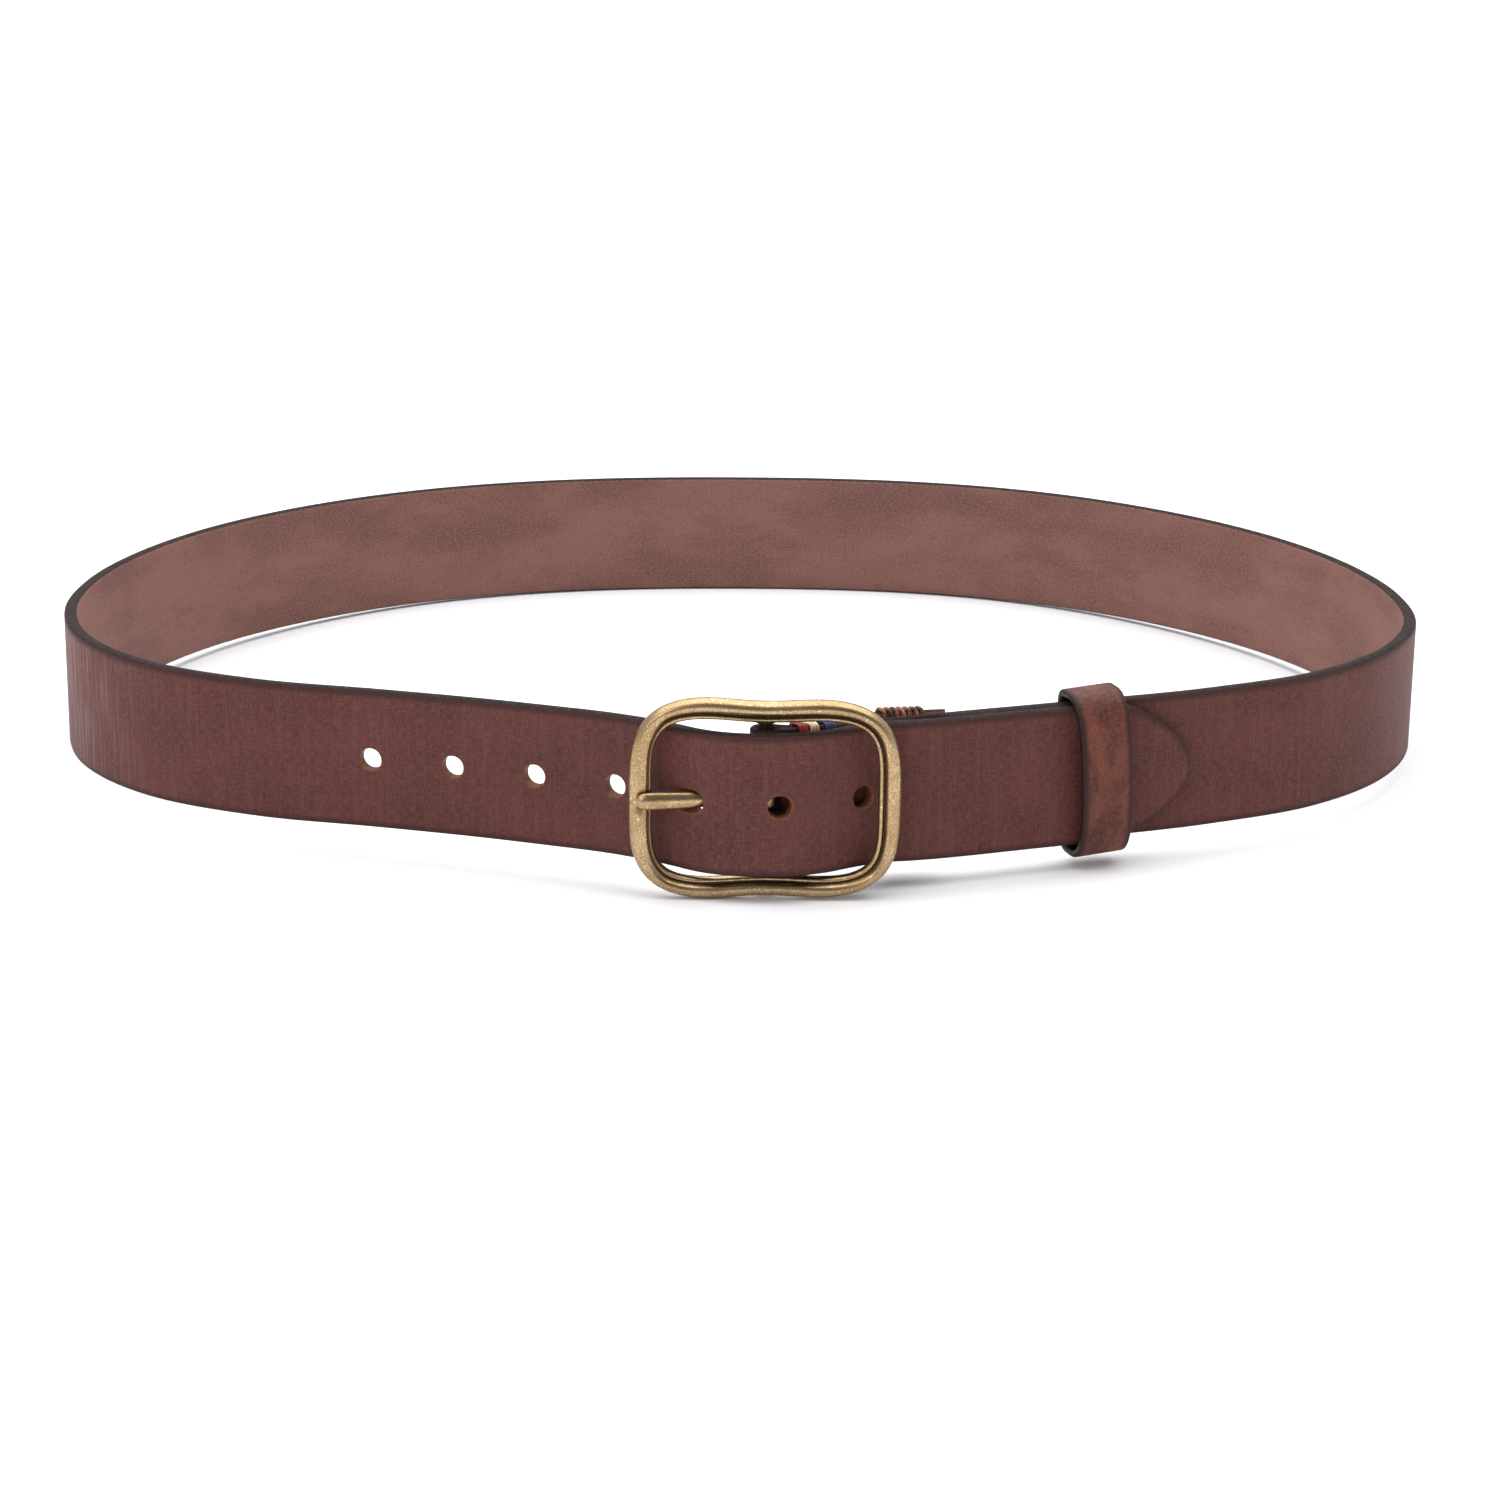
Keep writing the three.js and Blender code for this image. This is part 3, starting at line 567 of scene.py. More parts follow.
def rim_ring(hole, side, border, grow, depth, blend=0.0):
    """A ring of (distance, rise, depth) round the hole, grown outwards, and blended towards the window."""
    ds = (border[:, 0] - hole.middle[side]) / hole.window
    dz = border[:, 1] / WINDOW_HALF
    turn = np.arctan2(dz, ds)
    c, s = np.cos(turn), np.sin(turn)
    power = 2 / hole.power
    ring_s = hole.middle[side] + (hole.half[side] + grow) * signed_power(c, power)
    ring_z = (hole.rise + grow) * signed_power(s, power)
    ring = np.stack([ring_s, ring_z], 1)
    ring = ring + (border[:, :2] - ring) * blend
    return np.column_stack([ring, np.full(len(ring), depth)])


def hole_rings(hole, borders):
    """Rings from the grain face, over the lip, down the wall and out onto the flesh face."""
    grain, flesh = borders[1], borders[-1]
    lips = [(share * HOLE_LIP, depth) for share, depth, _ in HOLE_LIPS]
    rings = [rim_ring(hole, 1, grain, HOLE_LIP, 1, blend) for blend in HOLE_BLENDS]
    rings += [rim_ring(hole, 1, grain, grow, depth) for grow, depth in lips]
    top = rim_ring(hole, 1, grain, 0, 0)
    low = rim_ring(hole, -1, flesh, 0, 0)
    for share in WALL_SHARES:
        ring = top + (low - top) * share
        ring[:, 2] = WALL_DEPTH - 2 * WALL_DEPTH * share
        rings.append(ring)
    rings += [rim_ring(hole, -1, flesh, grow, -depth) for grow, depth in reversed(lips)]
    rings += [rim_ring(hole, -1, flesh, HOLE_LIP, -1, blend) for blend in reversed(HOLE_BLENDS)]
    side = [0] * len(HOLE_BLENDS) + [amount for _, _, amount in HOLE_LIPS]
    raw = side + [1] * len(WALL_SHARES) + side[::-1]
    return rings, raw


def strap_mesh():
    """Places, rawness and faces of the strap: a grid with windows, each filled with the rings of its hole."""
    holes = openings()
    distances = strap_stations(holes)
    grid = strap_grid(distances)
    columns, sides = grid.shape[:2]
    places = [grid.reshape(-1, 3)]
    raw = [np.zeros(columns * sides)]
    count = columns * sides
    skipped = set()
    faces = []
    for hole in holes:
        loops, borders = {}, {}
        for side in (1, -1):
            loops[side], cells = window_loop(hole, side, distances, sides)
            skipped |= cells
            borders[side] = places[0][loops[side]]
        rings, amounts = hole_rings(hole, borders)
        around = len(loops[1])
        indices = [loops[1]]
        for ring, amount in zip(rings, amounts):
            places.append(ring)
            raw.append(np.full(around, float(amount)))
            indices.append(range(count, count + around))
            count += around
        for low, high in zip(indices, indices[1:] + [loops[-1]]):
            faces += band(low, high)
    for column in range(columns - 1):
        cells = band(row_of(column, sides), row_of(column + 1, sides))
        faces += [face for side, face in enumerate(cells) if (column, side) not in skipped]
    faces.append(tuple(row_of(columns - 1, sides)))
    return np.vstack(places), np.concatenate(raw), faces


def strap():
    places, raw, faces = strap_mesh()
    points = strap_point(places[:, 0], places[:, 1], places[:, 2])
    distance = places[:, 0]
    step = 0.01
    slope = (half_width(distance + step) - half_width(distance)) / step
    edge = (half_width(distance) - np.abs(places[:, 1])) / np.hypot(1, slope)
    edge = np.minimum(edge, LINE_LENGTH - distance)
    bend = np.exp(-(((distance - distance_near(*LEFT_BEND)) / LEFT_BEND_REACH) ** 2))
    attributes = {"place": places, "edge": edge, "raw": raw, "bend": bend}
    return make_mesh("belt_strap", points, faces, attributes, sharp_degrees=50)


# ---- buckle

def frame_outline(turn, inset):
    """Across and rise of the frame's outline; inset moves it towards the opening."""
    power = 2 / lerp(FRAME_POWER, OPENING_POWER, inset / FRAME_BAR_WIDTH)
    c, s = np.cos(turn), np.sin(turn)
    across = (FRAME_WIDTH / 2 - inset) * signed_power(c, power)
    rise = (FRAME_HEIGHT / 2 - inset) * signed_power(s, power)
    waist = FRAME_WAIST * np.exp(-((across / FRAME_WAIST_SPREAD) ** 2))
    taper = 1 - FRAME_TAPER * across / (FRAME_WIDTH / 2)
    return across, (rise - waist * rise / (FRAME_HEIGHT / 2)) * taper


# Section of the frame's bar, as (inset, behind): a round outer face, a groove and a bead along the opening.
BEADED_SECTION = np.array([
    (0, 0.5), (0.25, -0.75), (1.1, -1.8), (2.3, -2.2), (3.4, -1.9), (4.15, -1.05), (4.45, -0.8), (4.9, -1.15),
    (5.45, -1.1), (5.9, -0.5), (6, 0.3), (5.75, 1.6), (4.9, 2.2), (1.1, 2.2), (0.3, 1.6),
])
# On the prong's side the face is wider and the bead is only a thin line.
PLAIN_SECTION = np.array([
    (0, 0.5), (0.2, -0.7), (0.9, -1.6), (2.1, -2.1), (3.7, -2.0), (4.7, -1.5), (5.0, -1.32), (5.25, -1.35),
    (5.6, -1.2), (5.92, -0.6), (6, 0.3), (5.75, 1.6), (4.9, 2.2), (1.1, 2.2), (0.3, 1.6),
])
BEAD_GROOVE = (4.4, 5.0)  # inset of the groove beside the bead: beaded side, plain side
BEAD_GROOVE_WIDTH = 0.55
SECTION_DETAIL = 5
FRAME_STEPS = 384
SEAT_START = 20  # distance along the prong where its seat in the frame begins
SEAT_HALF = PRONG_HEIGHT / 2 + 0.4
SEAT_DEPTH = PRONG_THICKNESS / 2 + 0.15
SEAT_FADE = (0.4, 2.2)  # the seat fades between these distances past the tip


def closed_curve(points, per_span):
    """A closed centripetal curve through a ring of points."""
    wrapped = np.vstack([points[-3:], points, points[:3]])
    curve = centripetal_curve(wrapped, per_span)
    return curve[3 * per_span:3 * per_span + len(points) * per_span]


def frame_plan(across, rise, behind):
    """Plan point from a place in the frame's own plane."""
    c, s = math.cos(FRAME_YAW), math.sin(FRAME_YAW)
    forward = behind - FRAME_SET_FORWARD
    return BAR + np.stack([across * c - forward * s, across * s + forward * c, rise + FRAME_RISE], -1)


def seat_prong(points):
    """Presses the prong's resting place into the frame's left bar."""
    offset = points - PRONG_ROOT
    rise = points[:, 2] - PRONG_ROOT[2]
    near = (offset @ PRONG_ALONG > SEAT_START) & (np.abs(rise) < SEAT_HALF)
    reach = np.sqrt(np.clip(1 - (rise / SEAT_HALF) ** 2, 0, 1))
    out = offset @ PRONG_FRONT
    floor = -SEAT_DEPTH * reach
    sink = np.where(near & (out > floor), floor - out, 0)
    sink *= 1 - smoothstep(offset @ PRONG_ALONG - PRONG_LENGTH, *SEAT_FADE)
    return points + sink[:, None] * PRONG_FRONT


LATHE_SIDES = 48


def bar_lathe(name, profile, lift=FRAME_RISE, wear_and_shade=0.0):
    """A body turned about the bar's axis, from (rise, radius) pairs."""
    turn = 2 * math.pi * np.arange(LATHE_SIDES) / LATHE_SIDES
    circle = np.stack([np.cos(turn), np.sin(turn), np.zeros(LATHE_SIDES)], 1)
    points = np.vstack([BAR + circle * radius + UP * (rise + lift) for rise, radius in profile])
    faces = grid_faces(len(profile), LATHE_SIDES)
    # A low value gives dark tarnish; on the centre bar that tarnish is painted shade.
    return make_mesh(name, points, faces, {"wear_and_shade": np.full(len(points), wear_and_shade)}, sharp_degrees=40)


def rounded_end(rise, radius, fillet, outward):
    """Profile of a filleted end: (rise, radius) pairs towards the end."""
    turns = np.linspace(0, math.pi / 2, 5)
    return [(rise - outward * fillet * (1 - math.sin(t)), radius - fillet * (1 - math.cos(t))) for t in turns]


def cast_surface():
    """The frame without its lugs: its section swept round, the bead fading out on the prong's side."""
    turns = 2 * math.pi * np.arange(FRAME_STEPS) / FRAME_STEPS
    beaded = closed_curve(BEADED_SECTION, SECTION_DETAIL)
    plain = closed_curve(PLAIN_SECTION, SECTION_DETAIL)
    left, _ = frame_outline(turns, 0)
    plainness = smoothstep(-left, 0.72 * FRAME_WIDTH / 2, 0.97 * FRAME_WIDTH / 2)[:, None]
    section = lerp(beaded[None], plain[None], plainness[..., None])
    inset, behind = section[..., 0], section[..., 1]
    across, rise = frame_outline(turns[:, None], inset * FRAME_BAR_WIDTH / SECTION_WIDTH)
    points = seat_prong(frame_plan(across, rise, behind).reshape(-1, 3))
    from_groove = (inset - lerp(*BEAD_GROOVE, plainness)) / BEAD_GROOVE_WIDTH
    groove = np.exp(-(from_groove ** 2)) * (behind < 0)
    # Full tarnish in the groove, as patina, and half tarnish towards the back.
    wear_and_shade = 1 - np.maximum(groove, 0.5 * smoothstep(behind, -0.4, 0.8))
    faces = grid_faces(FRAME_STEPS, len(beaded), close_rows=True)
    return make_mesh("casting", points, faces, {"wear_and_shade": wear_and_shade.ravel()})


def lug_profile(side):
    """Rises and radii of the lug that holds one end of the bar, from its lower end to its upper."""
    middle = side * LUG_RISE
    low = [(middle - LUG_LENGTH / 2 + LUG_ROUND * share, LUG_RADIUS - LUG_ROUND * (1 - share) ** 2)
           for share in (0, 0.25, 0.5, 0.75, 1)]
    return low + [(2 * middle - rise, radius) for rise, radius in reversed(low)]


def frame_casting():
    casting = cast_surface()
    for side in (-1, 1):
        casting = joined("casting", casting, bar_lathe("lug", lug_profile(side)), "UNION")
    reach = BAR_LENGTH / 2 + GAP
    socket = bar_lathe("socket", [(-reach, BORE_RADIUS), (reach, BORE_RADIUS)])
    return joined("buckle_casting", casting, socket, "DIFFERENCE")


def centre_bar():
    reach = BAR_LENGTH / 2
    low = rounded_end(-reach, BAR_RADIUS, BAR_FILLET, -1)[::-1]
    waist = [(rise, BAR_RADIUS - BAR_WORN_BY * math.cos(math.pi * rise / (2 * reach)) ** 2)
             for rise in np.linspace(-reach + 1.5, reach - 1.5, 24)]
    # The bar keeps full dark tarnish: painted shade where it shows between the lugs and the fold.
    return bar_lathe("buckle_bar", low + waist + rounded_end(reach, BAR_RADIUS, BAR_FILLET, 1))


def prong_arm():
    """The prong's arm: a flattened section with a faint ridge, tapering to a rounded nose."""
    turn = 2 * math.pi * np.arange(40) / 40
    ridge = 0.16 * np.maximum(np.cos(turn), 0) ** 8
    out = (PRONG_THICKNESS / 2 - 0.12) * signed_power(np.cos(turn), 0.9) + ridge
    rise = PRONG_HEIGHT / 2 * np.sin(turn)
    nose_start = PRONG_LENGTH - PRONG_NOSE
    body = np.linspace(0, nose_start, 40)
    nose = nose_start + PRONG_NOSE * np.sin(np.linspace(0, math.pi / 2, 16))[1:]
    sections = []
    for at in np.concatenate([body, nose]):
        left = max(1 - (max(at - nose_start, 0) / PRONG_NOSE) ** PRONG_NOSE_POWER, 0.0002)
        size = left ** (1 / PRONG_NOSE_POWER)
        taper = 1 - PRONG_TAPER * smoothstep(PRONG_LENGTH - at, 4, 0.6 * PRONG_LENGTH)
        centre = PRONG_ROOT + PRONG_ALONG * at - PRONG_FRONT * 0.3 * (1 - size)
        sections.append(centre + PRONG_FRONT * (out * size)[:, None] + UP * (rise * size * taper)[:, None])
    points = np.vstack(sections)
    return make_mesh("arm", points, grid_faces(len(sections), len(turn)), {"wear_and_shade": np.ones(len(points))})


def prong():
    top = rounded_end(PRONG_HEIGHT / 2, PRONG_EYE_RADIUS, 0.7, 1)
    low = [(-rise, radius) for rise, radius in reversed(top)]
    eye = joined("prong", prong_arm(), bar_lathe("eye", low + top, PRONG_RISE, 0.5), "UNION")
    bore = bar_lathe("bore", [(-PRONG_HEIGHT, BORE_RADIUS), (PRONG_HEIGHT, BORE_RADIUS)], PRONG_RISE)
    return joined("buckle_prong", eye, bore, "DIFFERENCE")


# ---- keeper

LAYER_ALONG = np.array([1.0, LAYER_SLOPE, 0]) / math.hypot(1, LAYER_SLOPE)
LAYER_OUT = np.array([LAYER_SLOPE, -1.0, 0]) / math.hypot(1, LAYER_SLOPE)
KEEPER_MIDDLE = np.array([KEEPER_X, (inner_layer_y(KEEPER_X) + outer_layer_y(KEEPER_X)) / 2, MID])
KEEPER_DEPTH = KEEPER_REAR + KEEPER_THICKNESS / 2
KEEPER_UP = math.cos(KEEPER_TILT) * UP + math.sin(KEEPER_TILT) * LAYER_ALONG
KEEPER_ALONG = math.cos(KEEPER_TILT) * LAYER_ALONG - math.sin(KEEPER_TILT) * UP
KEEPER_STEP = 0.45
KEEPER_ROWS = 15
KEEPER_EDGE_STEPS = 7


def loop_line():
    """The loop's middle line as (out, rise) points, and its outward normals, from the rear joint."""
    turn = np.linspace(math.pi, -math.pi, 6001)
    c, s = np.cos(turn), np.sin(turn)
    power = np.where(c > 0, KEEPER_FRONT_POWER, KEEPER_REAR_POWER)
    reach = np.where(c > 0, KEEPER_FRONT, KEEPER_REAR)
    radius = (np.abs(c / reach) ** power + np.abs(s / KEEPER_RISE) ** power) ** (-1 / power)
    inside = np.stack([radius * c, radius * s], 1)
    along = np.gradient(inside, axis=0)
    normal = np.stack([-along[:, 1], along[:, 0]], 1) / np.linalg.norm(along, axis=1)[:, None]
    line = inside + normal * KEEPER_THICKNESS / 2
    kept = (line[:, 0] > 0) | (np.abs(line[:, 1]) > GAP / 2)
    line, normal = line[kept], normal[kept]
    length = lengths_along(line)
    even = np.linspace(0, length[-1], round(length[-1] / KEEPER_STEP))
    return resampled(line, length, even), resampled(normal, length, even)


def keeper_band():
    line, normal = loop_line()
    half = KEEPER_WIDTH / 2
    face = np.linspace(-1, 1, KEEPER_ROWS) * (half - KEEPER_EDGE_ROUND)
    reach, level = worn_edge(KEEPER_EDGE_STEPS, KEEPER_EDGE_ROUND)
    across = np.concatenate([face, half - reach, -face, reach - half])
    depth = np.concatenate([np.ones(KEEPER_ROWS), level, -np.ones(KEEPER_ROWS), -level])
    crown = KEEPER_CROWN * (1 - (across / half) ** 2) * (depth > 0)
    places, points = [], []
    for (out, rise), (nx, nz), at in zip(line, normal, lengths_along(line)):
        outward = LAYER_OUT * nx + KEEPER_UP * nz
        base = KEEPER_MIDDLE + LAYER_OUT * out + KEEPER_UP * rise
        lift = depth * KEEPER_THICKNESS / 2 + crown * abs(nx)
        points.append(base + KEEPER_ALONG * across[:, None] + outward * lift[:, None])
        places.append(np.column_stack([np.full(len(across), at), across, depth]))
    places = np.vstack(places)
    faces = grid_faces(len(line), len(across))
    attributes = {"place": places, "edge": half - np.abs(places[:, 1])}
    return make_mesh("keeper_band", np.vstack(points), faces, attributes, sharp_degrees=50)


STAPLE_SPAN = 6.1
STAPLE_OFFSET = 4.2
STAPLE_RADIUS = 0.45
STAPLE_BEND = 0.8
STAPLE_SIDES = 14


def staple(name, side):
    """A wire staple across the keeper's butt joint, its legs sunk in the leather."""
    out = -(KEEPER_DEPTH + KEEPER_THICKNESS / 2 + 0.3 + STAPLE_RADIUS)
    leg = -(KEEPER_DEPTH - KEEPER_THICKNESS / 2 + 0.35)
    half = STAPLE_SPAN / 2
    corner = [(out + STAPLE_BEND * (1 - math.sin(t)), -half + STAPLE_BEND * (1 - math.cos(t)))
              for t in np.linspace(0, math.pi / 2, 7)]
    route = [(leg, -half)] + corner
    route += [(a, -b) for a, b in reversed(route)]
    route = np.array(route)
    along = side * STAPLE_OFFSET
    points = KEEPER_MIDDLE + LAYER_OUT * route[:, :1] + KEEPER_UP * route[:, 1:] + KEEPER_ALONG * along
    sections, _ = tube(points, KEEPER_ALONG, STAPLE_RADIUS, STAPLE_SIDES)
    return make_mesh(name, sections, grid_faces(len(points), STAPLE_SIDES), sharp_degrees=60)


# ---- thread and lace

WHIPPINGS = {"red": (16.3, 2.4, 3), "cream": (19.1, 2.5, 3), "navy": (23.4, 2.8, 4)}  # x, width, turns
LACING = {"x": 42.5, "y": -132.8, "width": 12.0, "turns": 7}
LACE_RADIUS = 0.55
CORD_SIDES = 12
CORD_PLIES = 3
WOUND_CORNER = 1.1
WOUND_POINTS = 72
QUARTER_POINTS = 7


def wound_turn(front, back, low, high):
    """One turn round an edge as (out, rise) points, starting inside the leather."""
    corner = WOUND_CORNER
    corners = [(front - corner, high - corner), (back + corner, high - corner),
               (back + corner, low + corner), (front - corner, low + corner)]
    points = []
    for quarter, (x, z) in enumerate(corners):
        for t in np.linspace(0, 1, QUARTER_POINTS):
            angle = math.pi / 2 * (quarter + t)
            points.append((x + corner * math.cos(angle), z + corner * math.sin(angle)))
    first = 3 * QUARTER_POINTS
    middle = [(0.5 * (front + back), low)]
    points = np.array(middle + points[first:] + points[:first] + middle)
    length = lengths_along(points)
    return resampled(points, length, np.linspace(0, length[-1], WOUND_POINTS))


def winding(name, at, width, turns, front, back, radius, top, lean):
    """A cord wound round one edge of the leather; lean is the share of each step taken over the edge."""
    xy, grain = station(at)
    out = np.append(grain, 0)
    along = np.array([grain[1], -grain[0], 0])
    turn = wound_turn(front + radius, -back - radius, MID - BINDING_DEPTH, MID + 1.05 * radius)
    over = smoothstep(np.linspace(0, 1, len(turn)), 0.5 - lean / 2, 0.5 + lean / 2)
    pitch = width / turns
    name += "_top" if top else "_bottom"
    route = []
    for count in range(turns):
        shift = (count + over - turns / 2) * pitch
        kept = len(turn) if count == turns - 1 else -1
        route.append(np.column_stack([turn, shift])[:kept])
    route = np.vstack(route)
    sign = 1 if top else -1
    points = np.append(xy, MID) + out * route[:, :1] + UP * sign * route[:, 1:2] + along * route[:, 2:]
    sections, length = tube(points, along, radius, CORD_SIDES, CORD_PLIES)
    attributes = {"length": np.repeat(length, CORD_SIDES)}
    return make_mesh(name, sections, grid_faces(len(points), CORD_SIDES), attributes)


def whipping(colour, top):
    x, width, turns = WHIPPINGS[colour]
    at = distance_near(x, ply_y(x), low=SKIVE_START, high=SKIVE_START + 50)
    back = STRAP_THICKNESS + GAP + SKIVED_FRONT
    radius = width / turns / 2
    return winding(f"{colour}_thread", at, width, turns, SKIVED_FRONT, back, radius, top, 0.06)


def flap_lace(top):
    at = distance_near(LACING["x"], LACING["y"], low=SKIVE_START + 50)
    width, turns = LACING["width"], LACING["turns"]
    return winding("flap_lace", at, width, turns, SKIVED_FRONT, HALF, LACE_RADIUS, top, 0.5)


# ---- node helpers

def is_socket(value):
    return isinstance(value, bpy.types.NodeSocket)


def wire(kind, *inputs, tree=None, out=0, **settings):
    """Adds a node whose inputs, in order, are sockets to link or values to set; None leaves one alone."""
    tree = tree or next(value.id_data for value in inputs if is_socket(value))
    node = tree.nodes.new("ShaderNode" + kind)
    for key, value in settings.items():
        setattr(node, key, value)
    for socket, value in zip(node.inputs, inputs):
        if is_socket(value):
            tree.links.new(value, socket)
        elif value is not None:
            socket.default_value = value
    return node.outputs[out]


def attribute(shader, name, out="Fac"):
    return wire("Attribute", tree=shader.id_data, attribute_name=name, out=out)


def object_place(shader):
    return wire("TexCoord", tree=shader.id_data, out=3)


def calc(operation, first, second=None):
    return wire("Math", first, second, operation=operation)


def times(first, second):
    return calc("MULTIPLY", first, second)


def plus(first, second):
    return calc("ADD", first, second)


def ramp(value, low, high, start=0.0, end=1.0):
    """A smooth step between two values of a socket."""
    return wire("MapRange", value, low, high, start, end, interpolation_type="SMOOTHSTEP")


def noise(vector, scale, detail=3.0, rough=0.55, warp=0.0):
    """Noise at one scale, or at a scale for each axis."""
    if isinstance(scale, tuple):
        vector, scale = wire("VectorMath", vector, scale, operation="MULTIPLY"), 1.0
    return wire("TexNoise", vector, None, scale, detail, rough, None, None, None, warp)


def mixed(share, first, second):
    """A mix of two colours, each a socket or a tuple."""
    tree = share.id_data
    node = tree.nodes.new("ShaderNodeMix")
    node.data_type = "RGBA"
    for socket, value in ((0, share), (6, first), (7, second)):
        if is_socket(value):
            tree.links.new(value, node.inputs[socket])
        else:
            node.inputs[socket].default_value = (*value, 1.0)
    return node.outputs[2]


def bumped(height, strength, distance_mm):
    node = height.id_data.nodes.new("ShaderNodeBump")
    node.inputs["Strength"].default_value = strength
    node.inputs["Distance"].default_value = distance_mm * MM
    node.id_data.links.new(height, node.inputs["Height"])
    return node.outputs["Normal"]


def socket_name(key):
    return key.replace("_", " ").title().replace("Ior", "IOR")


def new_material(name, **uniform):
    """A node material with a Principled shader; uniform values go on the shader's own sockets."""
    material = bpy.data.materials.new(name)
    material.use_nodes = True
    shader = material.node_tree.nodes["Principled BSDF"]
    for key, value in uniform.items():
        shader.inputs[socket_name(key)].default_value = value
    return material, shader


def feed(shader, **sockets):
    for key, socket in sockets.items():
        shader.id_data.links.new(socket, shader.inputs[socket_name(key)])


def dress(piece, material):
    piece.data.materials.clear()
    piece.data.materials.append(material)
    return piece


# ---- materials

GRAIN_DARK = (0.072, 0.022, 0.018)
GRAIN_MAIN = (0.097, 0.030, 0.025)
GRAIN_LIFT = (0.168, 0.066, 0.054)
GRAIN_WORN = (0.270, 0.150, 0.145)
FLESH_DARK = (0.125, 0.058, 0.047)
FLESH_MAIN = (0.195, 0.092, 0.075)
FLESH_PALE = (0.265, 0.132, 0.108)
EDGE_INK = (0.017, 0.010, 0.009)
# The lighter speckle colour on the inked edges is a painted highlight.
EDGE_GLINT = (0.075, 0.050, 0.045)
GRAIN_EDGE = (0.036, 0.014, 0.012)
RAW_LEATHER = (0.220, 0.085, 0.042)
RAW_DARK = (0.10, 0.036, 0.020)
KEEPER_DARK = (0.058, 0.018, 0.013)
KEEPER_MAIN = (0.140, 0.042, 0.026)
KEEPER_LIFT = (0.26, 0.11, 0.08)
KEEPER_EDGE = (0.030, 0.014, 0.012)
BRASS_DARK = (0.40, 0.275, 0.140)
BRASS_MAIN = (0.56, 0.41, 0.235)
BRASS_GRIT = (0.27, 0.175, 0.085)
BRASS_FLECK = (0.76, 0.62, 0.42)
# Dark tarnish, also laid on the centre bar as painted shade.
BRASS_TARNISH_AND_SHADE = (0.085, 0.048, 0.024)
THREADS = {
    "red": ((0.22, 0.006, 0.010), (0.56, 0.030, 0.040)),
    "cream": ((0.52, 0.36, 0.20), (0.88, 0.74, 0.52)),
    "navy": ((0.006, 0.008, 0.040), (0.030, 0.045, 0.22)),
}
LACE = ((0.030, 0.009, 0.006), (0.50, 0.17, 0.085))


def grain_colour(place, edge, bend):
    """Dyed grain side: cloudy dye, a fine plaited grain, and pale streaks where the leather is bent."""
    cloud = noise(place, (0.035, 0.05, 0), 4.0)
    colour = mixed(ramp(cloud, 0.30, 0.72), GRAIN_DARK, GRAIN_MAIN)
    streak = noise(place, (0.75, 0.035, 0), 4.0, 0.65)
    brightening = times(ramp(streak, 0.42, 0.72), ramp(bend, 0.0, 0.9, 0.12, 1.0))
    colour = mixed(times(brightening, 0.8), colour, GRAIN_WORN)
    fine = plaited_grain(place)
    colour = mixed(times(fine, 0.45), colour, GRAIN_LIFT)
    return mixed(ramp(edge, 2.7, 0.5, 0.0, 0.85), colour, GRAIN_EDGE)


def plaited_grain(place):
    """The fine crosshatch of the grain: two sets of short streaks at right angles."""
    along = noise(place, (0.45, 2.6, 0), 2.0, 0.6)
    across = noise(place, (2.6, 0.45, 0), 2.0, 0.6)
    return ramp(times(along, across), 0.19, 0.34)


def flesh_colour(place):
    """Flesh side: paler, with cloudy stains and fine veins."""
    cloud = noise(place, (0.018, 0.045, 0), 5.0, 0.6)
    colour = mixed(ramp(cloud, 0.36, 0.60), FLESH_DARK, FLESH_MAIN)
    fibre = noise(place, (1.1, 1.9, 0), 5.0, 0.8)
    colour = mixed(ramp(fibre, 0.40, 0.70), colour, FLESH_PALE)
    vein = noise(place, (0.09, 0.16, 0), 3.0, 0.55, 1.2)
    crease = ramp(calc("ABSOLUTE", calc("SUBTRACT", vein, 0.5)), 0.012, 0.0)
    return mixed(times(crease, 0.5), colour, FLESH_DARK)


def leather_surface(shader, place, fine, colour, pore_scale, rough, strength, distance_mm):
    """Pores and grain in relief, with the colour and the roughness that go with them."""
    pores = noise(place, (pore_scale, pore_scale, 0.8), 5.0, 0.7)
    height = plus(times(fine, 0.5), pores)
    rough = ramp(pores, 0.3, 0.75, *rough)
    feed(shader, base_color=colour, roughness=rough, normal=bumped(height, strength, distance_mm))


def strap_material():
    material, shader = new_material("strap_leather")
    place = attribute(shader, "place", "Vector")
    edge, raw, bend = (attribute(shader, name) for name in ("edge", "raw", "bend"))
    depth = wire("SeparateXYZ", place, out=2)
    grain_side = ramp(depth, -0.2, 0.2)
    colour = mixed(grain_side, flesh_colour(place), grain_colour(place, edge, bend))
    speckle = noise(place, (2.2, 2.2, 1.5), 4.0, 0.7)
    # Edge ink with lighter speckles, which are a painted highlight.
    ink_and_glints = mixed(ramp(speckle, 0.50, 0.72), EDGE_INK, EDGE_GLINT)
    ragged = plus(edge, times(speckle, 0.8))
    inked = ramp(ragged, 0.95, 0.6)
    colour = mixed(inked, colour, ink_and_glints)
    shine = ramp(times(inked, speckle), 0.0, 0.5, 0.16, 0.07)
    raw_tone = mixed(ramp(speckle, 0.35, 0.7), RAW_LEATHER, RAW_DARK)
    colour = mixed(raw, colour, raw_tone)
    leather_surface(shader, place, plaited_grain(place), colour, 1.3, (0.50, 0.70), 0.35, 0.12)
    feed(shader, specular_ior_level=shine)
    return material


